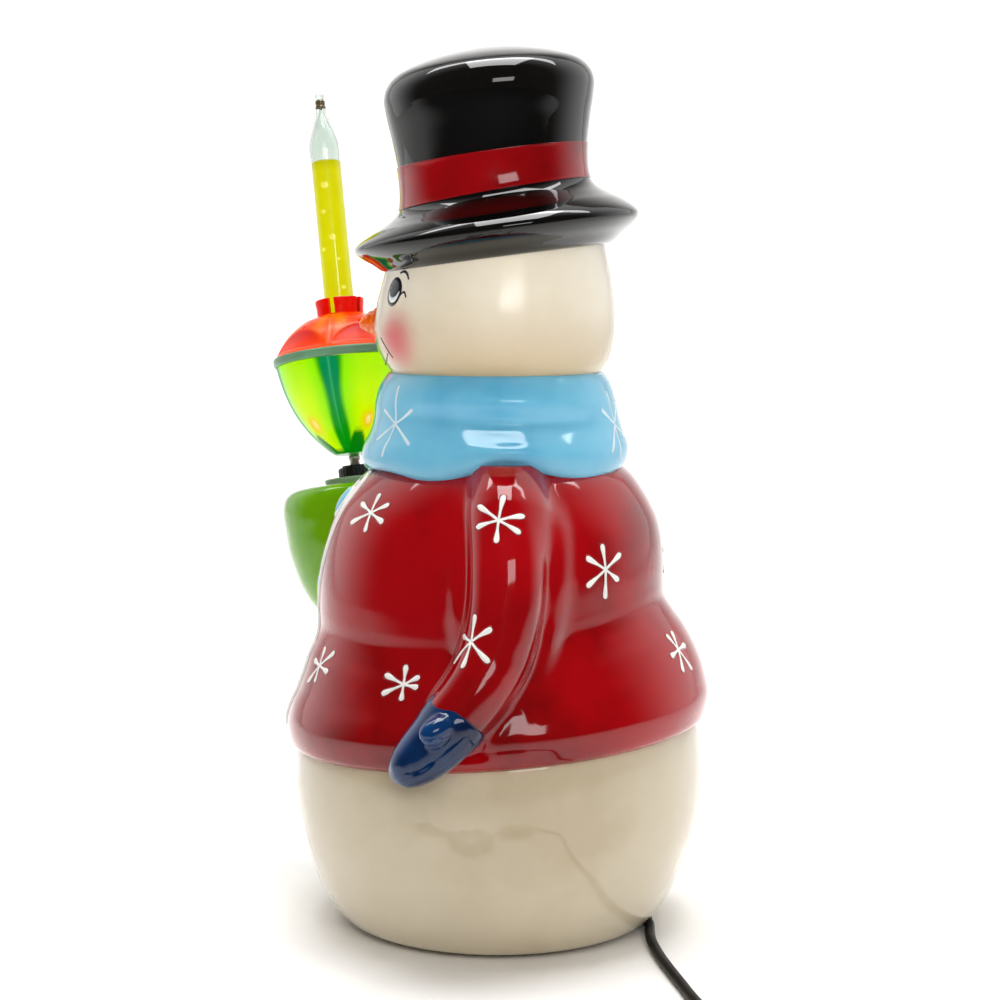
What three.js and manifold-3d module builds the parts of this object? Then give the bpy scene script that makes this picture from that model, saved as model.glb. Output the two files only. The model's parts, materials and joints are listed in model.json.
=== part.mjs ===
// A glazed ceramic snowman lamp that holds an oversized bubble light in a green socket cup.
// Millimetres, +Z up. The origin is on the table at the middle of the foot; the snowman faces -Y,
// its left arm is on +X, and the mains lead leaves the foot at the back, towards +Y.
import * as THREE from 'three';
import { mergeVertices } from 'three/addons/utils/BufferGeometryUtils.js';
import Module from 'manifold-3d';

const wasm = await Module();
wasm.setup();

// Driving dimensions
const GAP = 0.3;                  // clearance between pieces that meet
const BODY_SIDES = 28;            // facets round a casting
const WALL = 5;                   // thickness of the slip-cast wall
const FELT_THICK = 1.2;
const FELT_R = 53;
const FOOT_Z = FELT_THICK + GAP;  // underside of the ceramic foot
const COVER_R = 48;
const COVER_THICK = 2;
const HEM_Z = 80.5;               // joint between the white ball and the jacket hem
const COLLAR_Z = 190.5;           // joint between the jacket and the scarf
const CHIN_Z = 228.7;             // joint between the scarf and the head
const HAT_CENTRE = [-0.75, 285.6];  // y and z of the middle of the hat brim's edge
const HAT_MOUTH = -10.6;          // bottom of the hat below its brim edge
const BAND = { low: 16, high: 31, inner: 37.1, outer: 38.5 };

const LIGHT_SEAT = [-72.2, -70.6, 177.3];   // top of the socket disc on the bubble light's axis
const LIGHT_AXIS = [-0.156, -0.114, 0.981];
const STEM_R = 2.2;
const SOCKET_BORE = 3.2;
const SOCKET_DEPTH = 22;
const VIAL_R = 6.65;
const VIAL_WALL = 1.1;
const LIGHT_SIDES = 24;

const CORD_R = 2.1;
const CORD_SIDES = 8;
const CORD_LOW = CORD_R + 0.1;    // height of the cord's centre when it lies on the table
const GROMMET = { x: 9.1, y: 59.75, z: 3.7, r: 3.5, bore: 2.5, length: 13, turn: 25 };
const SWITCH = { x: 211, y: 48, length: 52, width: 23, half: 7.4, bore: 2.6 };
const ROCKER_TILT = 8;
const COIL = { x: 182, y: -22, inner: 18.3, outer: 31.1, low: 1.1, high: 14.1 };
const PLUG = { x: 192, y: -98, length: 27, width: 24, height: 15 };

// Plain geometry helpers
function vertexCount(geometry) {
  return geometry.attributes.position.count;
}

function closedSolid(geometry) {
  const bare = geometry.clone();
  bare.deleteAttribute('normal');
  bare.deleteAttribute('uv');
  const merged = mergeVertices(bare, 1e-4);
  const position = merged.attributes.position;
  const index = merged.index.array;
  const kept = [];
  let volume = 0;
  const a = new THREE.Vector3();
  const b = new THREE.Vector3();
  const c = new THREE.Vector3();
  for (let i = 0; i < index.length; i += 3) {
    const [p, q, r] = [index[i], index[i + 1], index[i + 2]];
    if (p === q || q === r || r === p) continue;
    a.fromBufferAttribute(position, p);
    b.fromBufferAttribute(position, q);
    c.fromBufferAttribute(position, r);
    volume += a.dot(b.cross(c));
    kept.push(p, q, r);
  }
  if (volume < 0) kept.reverse();
  const mesh = new wasm.Mesh({
    numProp: 3,
    vertProperties: new Float32Array(position.array),
    triVerts: new Uint32Array(kept),
  });
  return new wasm.Manifold(mesh);
}

function toGeometry(solid) {
  const mesh = solid.getMesh();
  const geometry = new THREE.BufferGeometry();
  geometry.setAttribute('position', new THREE.BufferAttribute(new Float32Array(mesh.vertProperties), 3));
  geometry.setIndex(new THREE.BufferAttribute(new Uint32Array(mesh.triVerts), 1));
  return geometry;
}

// A profile is a list of [radius, height]; it closes on itself when it stays off the axis.
function lathe(profile, sides = BODY_SIDES) {
  const offAxis = profile[0][0] > 0 && profile[profile.length - 1][0] > 0;
  const points = (offAxis ? [...profile, profile[0]] : profile).map(([r, z]) => new THREE.Vector2(r, z));
  return new THREE.LatheGeometry(points, sides).rotateX(Math.PI / 2);
}

function tubeProfile(inner, outer, low, high) {
  return [[inner, low], [outer, low], [outer, high], [inner, high]];
}

function warp(geometry, change) {
  const position = geometry.attributes.position;
  const v = new THREE.Vector3();
  for (let i = 0; i < vertexCount(geometry); i += 1) {
    change(v.fromBufferAttribute(position, i));
    position.setXYZ(i, v.x, v.y, v.z);
  }
  return geometry;
}

function ramp(low, high, value) {
  return THREE.MathUtils.clamp((value - low) / (high - low), 0, 1);
}

// Linear reading of a list of [position, value]
function readOff(list, position) {
  const last = list.length - 1;
  if (position <= list[0][0]) return list[0][1];
  for (let i = 0; i < last; i += 1) {
    const [p0, v0] = list[i];
    const [p1, v1] = list[i + 1];
    if (position <= p1) return v0 + (v1 - v0) * (position - p0) / (p1 - p0);
  }
  return list[last][1];
}

function box(width, depth, height) {
  return new THREE.BoxGeometry(width, depth, height);
}

function cylinder(radius, length, sides = 20) {
  return new THREE.CylinderGeometry(radius, radius, length, sides).rotateX(Math.PI / 2);
}

// Wraps an upright geometry (z from 0 to 1) along a curve; up keeps the section from twisting.
function bendAlong(geometry, curve, up) {
  return warp(geometry, (v) => {
    const t = THREE.MathUtils.clamp(v.z, 0, 1);
    const centre = curve.getPointAt(t);
    const ahead = curve.getTangentAt(t);
    const side = new THREE.Vector3().crossVectors(up, ahead).normalize();
    const top = new THREE.Vector3().crossVectors(ahead, side);
    v.copy(centre.addScaledVector(side, v.x).addScaledVector(top, v.y));
  });
}

function curveThrough(points) {
  return new THREE.CatmullRomCurve3(points.map((p) => new THREE.Vector3(...p)), false, 'centripetal');
}

function roundTube(points, radius, steps, sides = CORD_SIDES) {
  const shape = new THREE.Shape();
  shape.absarc(0, 0, radius, 0, Math.PI * 2);
  const path = curveThrough(points);
  return new THREE.ExtrudeGeometry(shape, { steps, extrudePath: path, curveSegments: sides / 2 });
}

// Finishes: colour, roughness, metalness
const finish = {
  cream: [0xf1e9da, 0.12, 0],
  red: [0xb30016, 0.1, 0],
  blue: [0x6db4d2, 0.12, 0],
  navy: [0x143c7c, 0.12, 0],
  black: [0x0b0a0a, 0.08, 0],
  orange: [0xe07a1c, 0.15, 0],
  holderGreen: [0x5f9a12, 0.12, 0],
  felt: [0x2c5a34, 0.95, 0],
  board: [0x9a7b52, 0.9, 0],
  rubber: [0x151515, 0.7, 0],
  disc: [0x8fae90, 0.35, 0],
  socket: [0x1a1a1a, 0.45, 0],
  steel: [0x8c857a, 0.3, 1],
  brass: [0xb08d3c, 0.35, 1],
  cup: [0x7ad400, 0.3, 0],
  rim: [0x5d9b76, 0.35, 0],
  dome: [0xff4a12, 0.3, 0],
  bulb: [0xfff2cc, 0.1, 0],
  glass: [0xf6fbf4, 0.03, 0],
  liquid: [0xf0e000, 0.1, 0],
  plastic: [0x101010, 0.4, 0],
};

function piece(name, geometry, look) {
  const [color, roughness, metalness] = finish[look];
  const solid = geometry.isBufferGeometry ? closedSolid(geometry) : geometry;
  const mesh = new THREE.Mesh(toGeometry(solid), new THREE.MeshStandardMaterial({ color, roughness, metalness }));
  mesh.name = name;
  return mesh;
}

// Castings of the body: rows of [height, front radius, back radius]
const BALL_ROWS = [
  [FOOT_Z, 61.5, 61.5], [3.9, 66, 65.6], [9, 70.2, 69.8], [18, 75.2, 74.9], [30, 79.6, 79.6],
  [42, 82.7, 83.4], [55, 84.8, 85.2], [68, 85.3, 85], [HEM_Z - GAP, 84.2, 83.2],
];
const JACKET_ROWS = [
  [HEM_Z, 84.6, 83.6], [82.5, 86.6, 85.8], [87, 87.9, 87.2], [92, 88, 87.7], [98, 86.3, 86.4], [105, 83.3, 84.2],
  [112, 81, 81], [119, 78.8, 77], [125, 76.2, 72.6], [131, 74.4, 69.2], [138, 74.4, 68.7], [148, 73.8, 68.6],
  [158, 72, 68], [168, 68.8, 66], [175, 65.4, 63], [181, 61, 59.4], [187, 55.4, 55], [COLLAR_Z - GAP, 51, 51],
];
const SCARF_ROWS = [
  [COLLAR_Z, 52.6, 51], [194, 56.4, 53.4], [199, 55.8, 53.6], [204.5, 53, 51.7], [210, 51.4, 50],
  [217, 50.8, 48.6], [224, 48.6, 46.4], [CHIN_Z - GAP, 44.8, 43.2],
];
const HEAD_ROWS = [
  [CHIN_Z, 45, 43], [234, 47.8, 45.5], [240, 50.2, 47.2], [247, 51.3, 48], [254, 50.4, 48],
  [261, 49.6, 47], [268, 48.3, 45.3], [HAT_CENTRE[1] + HAT_MOUTH - GAP, 46.5, 43.6],
];

// The jacket leans: its hem and waist sit lower in front, and its waist dips at the sides.
function jacketDrop(z) {
  return 0.075 * ramp(40, 78, z) * (1 - ramp(135, 176, z));
}

function waistDip(z) {
  return 7 * ramp(92, 122, z) * (1 - ramp(135, 170, z));
}

function leanJacket(v) {
  const r = Math.max(Math.hypot(v.x, v.y), 1);
  v.z += jacketDrop(v.z) * v.y - waistDip(v.z) * (v.x / r) ** 2;
}

// The hat tips forward; the tilt changes from brim to crown and the crown leans back on it.
const HAT_TILT = [[0, 0.133], [16, 0.175], [31, 0.137], [60, 0.1]];

function leanHead(v) {
  v.z += 0.133 * ramp(248, 275, v.z) * (v.y - HAT_CENTRE[0]);
}

function placeHat(v) {
  const tilt = readOff(HAT_TILT, v.z);
  v.z += HAT_CENTRE[1] + tilt * v.y;
  v.y += HAT_CENTRE[0] - 0.055 * (v.z - HAT_CENTRE[1]);
}

// Front and back radii differ, so every vertex is scaled by its bearing from the axis.
function lopsided(rows, offset) {
  const front = rows.map(([z, f]) => [z, f + offset]);
  const back = rows.map(([z, , b]) => [z, b + offset]);
  return (v) => {
    const r = Math.hypot(v.x, v.y);
    if (r < 1e-6) return;
    const f = readOff(front, v.z);
    const b = readOff(back, v.z);
    const turn = (1 + v.y / r) / 2;
    const factor = (f + (b - f) * turn) / f;
    v.x *= factor;
    v.y *= factor;
  };
}

// Hollow casting: outer profile up, inner profile down, open at both ends
function castShell(rows, wall, lean) {
  const outer = rows.map(([z, f]) => [f, z]);
  const inner = rows.filter((row, i) => i % 2 === 0 || i === rows.length - 1).map(([z, f]) => [f - wall, z]);
  const geometry = warp(lathe([...outer, ...inner.reverse()]), lopsided(rows, 0));
  return warp(geometry, lean);
}

// Solid envelope of a casting, swollen by an offset, for cutting its neighbours
function envelope(rows, offset, lean) {
  const low = rows[0][0];
  const high = rows[rows.length - 1][0];
  const outline = [[0, low], ...rows.map(([z, f]) => [f + offset, z]), [0, high]];
  const geometry = warp(lathe(outline), lopsided(rows, offset));
  return closedSolid(warp(geometry, lean));
}

function lowerBody() {
  const shell = closedSolid(castShell(BALL_ROWS, WALL + 3, leanJacket));
  const rabbet = closedSolid(cylinder(COVER_R + GAP, 5).translate(0, 0, FOOT_Z + COVER_THICK + GAP - 2.5));
  const notch = closedSolid(cylinder(GROMMET.r + GAP, 40, 16).applyMatrix4(grommetPlace()));
  return shell.subtract(rabbet).subtract(notch);
}

function grommetPlace() {
  const out = new THREE.Vector3(Math.cos(THREE.MathUtils.degToRad(GROMMET.turn)),
    Math.sin(THREE.MathUtils.degToRad(GROMMET.turn)), 0);
  const turn = new THREE.Quaternion().setFromUnitVectors(new THREE.Vector3(0, 0, 1), out);
  const place = new THREE.Vector3(GROMMET.x, GROMMET.y, GROMMET.z);
  return new THREE.Matrix4().compose(place, turn, new THREE.Vector3(1, 1, 1));
}

// Bubble light frame: +Z of the group runs up the light's axis from its seat
const lightGroup = new THREE.Group();
lightGroup.position.set(...LIGHT_SEAT);
lightGroup.quaternion.setFromUnitVectors(new THREE.Vector3(0, 0, 1), new THREE.Vector3(...LIGHT_AXIS).normalize());
lightGroup.updateMatrixWorld(true);
const intoLight = lightGroup.matrixWorld.clone().invert();

function onLightAxis(s) {
  return new THREE.Vector3(0, 0, s).applyMatrix4(lightGroup.matrixWorld).toArray();
}

const LEAD_HOLE = { from: [-43, -42, 125], to: [-60, -59, 139], r: 5 };

function rodBetween(from, to, radius, sides = 16) {
  const a = new THREE.Vector3(...from);
  const b = new THREE.Vector3(...to);
  const along = b.clone().sub(a);
  const turn = new THREE.Quaternion().setFromUnitVectors(new THREE.Vector3(0, 0, 1), along.clone().normalize());
  const middle = a.add(b).multiplyScalar(0.5);
  return cylinder(radius, along.length(), sides).applyQuaternion(turn).translate(...middle.toArray());
}

const jacketSolid = closedSolid(castShell(JACKET_ROWS, WALL, leanJacket));
const jacketClear = envelope(JACKET_ROWS, GAP, leanJacket);

// Holder cup for the light: an acorn with a hole for the socket, luted into the chest
const HOLDER_OUTER = [
  [13, -4.4], [22, -3.6], [28.4, -3], [32.4, -6.5], [34.2, -13], [33.8, -22], [33.2, -30],
  [31.6, -37.5], [29.2, -46], [24, -56], [15, -65], [5, -69.5],
];
const HOLDER_INNER = [[5, -63], [12, -59.5], [20, -51], [25.5, -42], [28.6, -30], [29.4, -14], [26, -8.5], [13, -8.6]];

function holderSolid() {
  const shell = closedSolid(lathe([...HOLDER_OUTER, ...HOLDER_INNER], LIGHT_SIDES));
  const tip = closedSolid(lathe([[0, -69.5], [6, -69.5], [6, -62.8], [0, -62.8]], LIGHT_SIDES));
  return shell.add(tip).subtract(inLight(jacketClear));
}

function inLight(solid) {
  return closedSolid(toGeometry(solid).applyMatrix4(intoLight));
}

function holderEnvelope() {
  const outline = [[0, -69.8], ...HOLDER_OUTER.map(([r, s]) => [r + GAP, s]).reverse(), [0, -4]];
  return closedSolid(lathe(outline, LIGHT_SIDES).applyMatrix4(lightGroup.matrixWorld));
}

// Arms: a sleeve and a mitten each follow a curve and are cut back to what they lie against
function limb(points, radii, sides = 12) {
  const count = radii.length - 1;
  const profile = [[0, 0], ...radii.map((r, i) => [r, i / count]), [0, 1]];
  const section = lathe(profile, sides);
  return closedSolid(bendAlong(section, curveThrough(points), new THREE.Vector3(0.3, 0, 1).normalize()));
}

const LEFT_SLEEVE = [
  [46, 5, 186.5], [62.5, 8, 174], [71, 9.4, 158], [75.3, 8.8, 140], [79.6, 5, 123], [84.5, -1.5, 111], [87.5, -8, 103],
];
const LEFT_MITTEN = [[88.2, -6.4, 104.6], [89.6, -12, 97.6], [91, -19, 89.6], [91, -28, 82.4]];
const RIGHT_SLEEVE = [[-50, 4, 182], [-66, 4, 174], [-80, -4, 158], [-90, -18, 145], [-94, -34, 138], [-94, -44, 136]];
const RIGHT_MITTEN = [[-94, -43, 136.5], [-95, -56, 137], [-92, -72, 139], [-84, -87, 141]];
const SLEEVE_RADII = [9, 12.5, 14.2, 14.4, 14.2, 13.8, 13.4, 12.6];
const MITTEN_RADII = [9, 11.5, 12.4, 12.5, 12.1, 11.2, 9.4, 5.5];

const leftSleeve = limb(LEFT_SLEEVE, SLEEVE_RADII);
const rightSleeve = limb(RIGHT_SLEEVE, SLEEVE_RADII);
const leftSleeveClear = limb(LEFT_SLEEVE, SLEEVE_RADII.map((r) => r + GAP));
const rightSleeveClear = limb(RIGHT_SLEEVE, SLEEVE_RADII.map((r) => r + GAP));

function thumb(from, to, radius) {
  return closedSolid(new THREE.SphereGeometry(radius, 12, 8).scale(1, 1, 1.5)
    .applyQuaternion(new THREE.Quaternion().setFromUnitVectors(new THREE.Vector3(0, 0, 1),
      new THREE.Vector3(...to).sub(new THREE.Vector3(...from)).normalize()))
    .translate(...to));
}

const ballClear = envelope(BALL_ROWS, GAP, leanJacket);
const holderClear = holderEnvelope();

function biggest(solid) {
  return solid.decompose().sort((a, b) => b.volume() - a.volume())[0];
}

// Front placket and buttons: patches of a swollen jacket skin inside an upright outline
function chestSkin(inner, outer) {
  return envelope(JACKET_ROWS, outer, leanJacket).subtract(envelope(JACKET_ROWS, inner, leanJacket));
}

// Pushes a flat outline drawn in x and z back through the chest's front half
function chestPrism(shape) {
  const slab = new THREE.ExtrudeGeometry(shape, { depth: 100, bevelEnabled: false, curveSegments: 5 });
  return closedSolid(slab.rotateX(Math.PI / 2).translate(0, -10, 0));
}

// The placket's edge wanders across the chest: rows of [x, height]
const PLACKET = [
  [15, 189], [21, 183], [24, 176], [23, 167], [20.5, 158], [17, 148], [14, 139],
  [13.5, 132], [15, 126], [17.5, 118], [18, 108], [16.5, 99.7], [14, 90], [13, 83],
];
const PLACKET_HALF = 1.7;
const BUTTONS = [[13.5, 177], [2, 139.5], [-3, 99]];
const BUTTON_HALF = [6, 7.6];

function placketPrism(half) {
  const steps = 22;
  const curve = curveThrough(PLACKET.map(([x, z]) => [x, z, 0]));
  const edges = [1, -1].map((side) => curve.getSpacedPoints(steps).map((p, i) => {
    const t = curve.getTangentAt(i / steps);
    return new THREE.Vector2(p.x - t.y * side * half, p.y + t.x * side * half);
  }));
  const shape = new THREE.Shape();
  shape.setFromPoints([...edges[0], ...edges[1].reverse()]);
  return chestPrism(shape);
}

function frontTrim() {
  return biggest(chestSkin(GAP, 1.1).intersect(placketPrism(PLACKET_HALF)));
}

function frontButton([x, z]) {
  const shape = new THREE.Shape();
  shape.absellipse(x, z, ...BUTTON_HALF, 0, Math.PI * 2);
  return biggest(chestSkin(GAP, 2.2).intersect(chestPrism(shape)).subtract(placketPrism(PLACKET_HALF + GAP)));
}

function nose() {
  const cone = closedSolid(lathe([[0, -4], [6.4, -4], [6.2, 0], [4.6, 5], [2.6, 9.5], [0, 11]], 14)
    .rotateX(Math.PI / 2).translate(0, -46.8, 249.5));
  return cone.subtract(envelope(HEAD_ROWS, GAP, leanHead));
}

// Hat: brim, crown and a recess for the band, hollow from below
const HAT_PROFILE = [
  [0, 68.2], [20, 66.2], [36, 60], [37.5, 56], [33.5, BAND.low], [34, 6], [39.5, HAT_MOUTH],
  [45, HAT_MOUTH], [52, -5.6], [56.4, -2], [57.8, 0], [56.6, 2.6], [51.5, 6.2], [44.5, 11], [40.4, 15.4],
  [36.8, BAND.low - GAP], [36.8, BAND.high + GAP], [38.8, BAND.high + GAP], [40.6, 43], [42.6, 54],
  [42.2, 60.6], [38.5, 65.9], [30, 69.9], [15, 73.7], [0, 74.8],
];

function hat() {
  return warp(lathe(HAT_PROFILE), placeHat);
}

function hatBand() {
  return warp(lathe(tubeProfile(BAND.inner, BAND.outer, BAND.low, BAND.high)), placeHat);
}

// Base and cord outlet
function baseCover() {
  return cylinder(COVER_R, COVER_THICK, BODY_SIDES).translate(0, 0, FOOT_Z + COVER_THICK / 2);
}

function baseFelt() {
  return cylinder(FELT_R, FELT_THICK, BODY_SIDES).translate(0, 0, FELT_THICK / 2);
}

function grommet() {
  const half = GROMMET.length / 2;
  const profile = [[GROMMET.bore, -half], [GROMMET.r, -half], [GROMMET.r, half - 3], [2.9, half], [GROMMET.bore, half]];
  return lathe(profile, 16).applyMatrix4(grommetPlace());
}

function alongGrommet(s, z = GROMMET.z) {
  const turn = THREE.MathUtils.degToRad(GROMMET.turn);
  return [GROMMET.x + s * Math.cos(turn), GROMMET.y + s * Math.sin(turn), z];
}

const CLAMP_S = -GROMMET.length / 2 - 9;
const INNER_ROUTE = [
  alongGrommet(CLAMP_S - 3.8, 8.8), alongGrommet(CLAMP_S - 9, 10.4), [-20, 38, 18], [-19, 26, 34], [-26, -4, 68], [-34, -24, 98], [-42, -40, 121],
  [-51, -50, 131.6], [-59, -58, 137.6], [-65.2, -64.4, 142.6], onLightAxis(-SOCKET_DEPTH - 4.4),
];

function cordClamp() {
  return rodBetween(alongGrommet(CLAMP_S - 3, 8.6), alongGrommet(CLAMP_S + 4, 7.4), 3, 10);
}

// Socket pieces, in the light's frame
function socketBody() {
  const s = SOCKET_DEPTH;
  const outer = [[11.6, -s - 4], [11.6, -4.6], [6, -4.6], [6, 5.6]];
  return lathe([[SOCKET_BORE, -s], ...tail(s), ...outer, [SOCKET_BORE, 5.6]], LIGHT_SIDES);
}

function tail(s) {
  return [[2.6, -s], [2.6, -s - 4]];
}

const SOCKET_DISC = [[6.3, -4.2], [12.8, -4.2], [14.4, -0.6], [14, 0], [6.3, 0]];
const COLLAR_NUT = [[6.3, GAP], [7.1, GAP], [7.7, 1.1], [7.7, 5.2], [7.1, 6], [6.3, 6]];

// Bubble light pieces, in the light's frame
const CUP_OUTER = [[7.5, 10.8], [14.1, 16], [20.3, 23.4], [24.6, 30.6], [27.6, 37.8], [29.7, 45], [31.4, 52.2]];
const CUP_INNER = [[29.6, 52.2], [27.9, 45], [22.8, 31.4], [18.6, 24.4], [12.8, 17.6], [7, 12.8], [2.5, 12.6], [2.5, 10.8]];
const RIM_RING = [[29.4, 52.5], [32, 52.8], [32.2, 56], [31, 56.4], [29.4, 56.4]];
const DOME_OUTER = [[31.6, 56.7], [29.5, 60], [25.4, 65.6], [18.4, 71.4], [10.6, 74], [10.6, 81]];
const DOME_INNER = [[8, 81], [8, 73], [17.6, 69.6], [24, 64.2], [27.8, 59], [29.4, 56.7]];
const VIAL_LOW = 56.5;
const BULB_PROFILE = [[0, 26.3], [4.6, 26.3], [7.8, 31], [9, 37], [8, 43.5], [5, 49.5], [0, 52]];
const MERLONS = 5;
const MERLON_GAP_TURN = 61 * Math.PI / 180;
const DOME_VENTS = 5;
const DOME_VENT_TURN = 31 * Math.PI / 180;

function domeSolid() {
  let solid = closedSolid(lathe([...DOME_OUTER, ...DOME_INNER], LIGHT_SIDES));
  for (let i = 0; i < MERLONS; i += 1) {
    const turn = MERLON_GAP_TURN + (2 * Math.PI * i) / MERLONS;
    const slot = box(8, 2.4, 6).translate(9.6, 0, 79.5).rotateZ(turn);
    solid = solid.subtract(closedSolid(slot));
  }
  for (let i = 0; i < DOME_VENTS; i += 1) {
    const turn = DOME_VENT_TURN + (2 * Math.PI * i) / DOME_VENTS;
    const vent = cylinder(1.4, 12, 8).translate(20.5, 0, 69).rotateZ(turn);
    solid = solid.subtract(closedSolid(vent));
  }
  return solid;
}

function vialShape() {
  const inner = VIAL_R - VIAL_WALL;
  return lathe([
    [VIAL_R, VIAL_LOW], [VIAL_R, 146], [7.1, 151], [6.9, 156], [4, 163], [2.3, 168.5], [1.9, 173], [0, 173],
    [0, 161], [3, 159], [5.6, 154], [inner, 147], [inner, VIAL_LOW],
  ], 20);
}

const LIQUID = [[0, VIAL_LOW], [VIAL_R - VIAL_WALL - GAP, VIAL_LOW], [VIAL_R - VIAL_WALL - GAP, 144], [0, 144]];
const VIAL_TIP = [[0, 173.3], [1.2, 173.4], [2, 175.2], [1.3, 177], [0, 177.4]];

// Lead on the table: one route, split where the switch, the coil and the plug sit on it
const TABLE_ROUTE = [
  alongGrommet(6.8), [19.4, 63.9, 3.2], [26, 64.3, CORD_LOW], [38.7, 65.2, CORD_LOW], [57.3, 68.6, CORD_LOW],
  [74.9, 73, CORD_LOW], [91.6, 77.6, CORD_LOW], [108.3, 82.2, CORD_LOW], [124.6, 88, CORD_LOW],
  [142, 96.6, CORD_LOW], [159, 105.8, CORD_LOW], [177, 112, CORD_LOW], [194, 110, CORD_LOW],
  [206, 99, 3], [210.4, 86, 6], [SWITCH.x, SWITCH.y + SWITCH.length / 2 + GAP, SWITCH.half],
];
const COIL_ROUTE = [
  [SWITCH.x, SWITCH.y - SWITCH.length / 2 - GAP, SWITCH.half], [SWITCH.x, 13, 5.6], [SWITCH.x, 4, 3.4],
  [SWITCH.x, -5.6, 3.2],
];
const PLUG_ROUTE = [
  [COIL.x + 29.2, COIL.y - 17.5, 5.4], [210.4, -50, 3.2], [206, -60, 3.4], [198.6, -65.6, 4.8],
  [PLUG.x, PLUG.y + PLUG.length / 2 + 7, 7.4], [PLUG.x, PLUG.y + PLUG.length / 2 + GAP, PLUG.height / 2],
];

function switchShell(low, high) {
  const shape = new THREE.Shape();
  const [halfLength, halfWidth] = [SWITCH.length / 2, SWITCH.width / 2];
  shape.moveTo(-5, -halfLength);
  shape.lineTo(5, -halfLength);
  shape.quadraticCurveTo(halfWidth, -halfLength + 3, halfWidth, -8);
  shape.lineTo(halfWidth, 8);
  shape.quadraticCurveTo(halfWidth, halfLength - 3, 5, halfLength);
  shape.lineTo(-5, halfLength);
  shape.quadraticCurveTo(-halfWidth, halfLength - 3, -halfWidth, 8);
  shape.lineTo(-halfWidth, -8);
  shape.quadraticCurveTo(-halfWidth, -halfLength + 3, -5, -halfLength);
  const slab = new THREE.ExtrudeGeometry(shape, { depth: high - low, bevelEnabled: false, curveSegments: 5 });
  const bore = cylinder(SWITCH.bore, SWITCH.length + 4, 12).rotateX(Math.PI / 2).translate(0, 0, SWITCH.half);
  return closedSolid(slab.translate(0, 0, low)).subtract(closedSolid(bore)).translate([SWITCH.x, SWITCH.y, 0]);
}

const ROCKER = { length: 15, width: 9, low: 10.4, high: 18.2, pivot: 12.8 };

function switchTop() {
  const well = closedSolid(box(ROCKER.width + 1.6, ROCKER.length + 2.4, 14).translate(SWITCH.x, SWITCH.y, 16.8));
  return switchShell(SWITCH.half + GAP / 2, 14.8).subtract(well);
}

function rocker() {
  const half = ROCKER.length / 2;
  const shape = new THREE.Shape();
  shape.moveTo(-half, ROCKER.pivot - 1);
  shape.lineTo(0, ROCKER.low);
  shape.lineTo(half, ROCKER.pivot - 1);
  shape.lineTo(half, ROCKER.high);
  shape.quadraticCurveTo(0, ROCKER.high - 3.6, -half, ROCKER.high);
  const depth = ROCKER.width;
  const slab = new THREE.ExtrudeGeometry(shape, { depth, bevelEnabled: false, curveSegments: 6 });
  const upright = slab.translate(0, 0, -depth / 2).rotateX(Math.PI / 2).rotateZ(Math.PI / 2);
  const tilted = upright.translate(0, 0, -ROCKER.pivot).rotateX(THREE.MathUtils.degToRad(-ROCKER_TILT));
  return tilted.translate(SWITCH.x, SWITCH.y, ROCKER.pivot);
}

function plugBody() {
  const shape = new THREE.Shape();
  const [halfWidth, back, front] = [PLUG.width / 2, PLUG.length / 2, -PLUG.length / 2];
  shape.moveTo(-halfWidth, front);
  shape.lineTo(halfWidth, front);
  shape.lineTo(halfWidth, 0);
  shape.quadraticCurveTo(halfWidth - 2, back - 6, 5, back);
  shape.lineTo(-5, back);
  shape.quadraticCurveTo(-halfWidth + 2, back - 6, -halfWidth, 0);
  const slab = new THREE.ExtrudeGeometry(shape, { depth: PLUG.height, bevelEnabled: false, curveSegments: 6 });
  return slab.translate(PLUG.x, PLUG.y, 0);
}

function plugBlades() {
  const front = PLUG.y - PLUG.length / 2 - GAP;
  const one = box(6.4, 17, 1.5).translate(-6.4, front - 8.5, 0).translate(PLUG.x, 0, PLUG.height / 2);
  const other = box(6.4, 17, 1.5).translate(6.4, front - 8.5, 0).translate(PLUG.x, 0, PLUG.height / 2);
  const link = box(19, 3, 1.5).translate(PLUG.x, front - 1.5, PLUG.height / 2);
  return closedSolid(one).add(closedSolid(other)).add(closedSolid(link));
}

function coilTie() {
  const middle = (COIL.inner + COIL.outer) / 2;
  const outer = closedSolid(box(6, 16.2, 15.2).translate(0, 0, 7.6));
  const inner = closedSolid(box(10, 14.6, 13.6).translate(0, 0, 7.6));
  return outer.subtract(inner).translate([COIL.x, COIL.y - middle, 0]);
}

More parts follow.
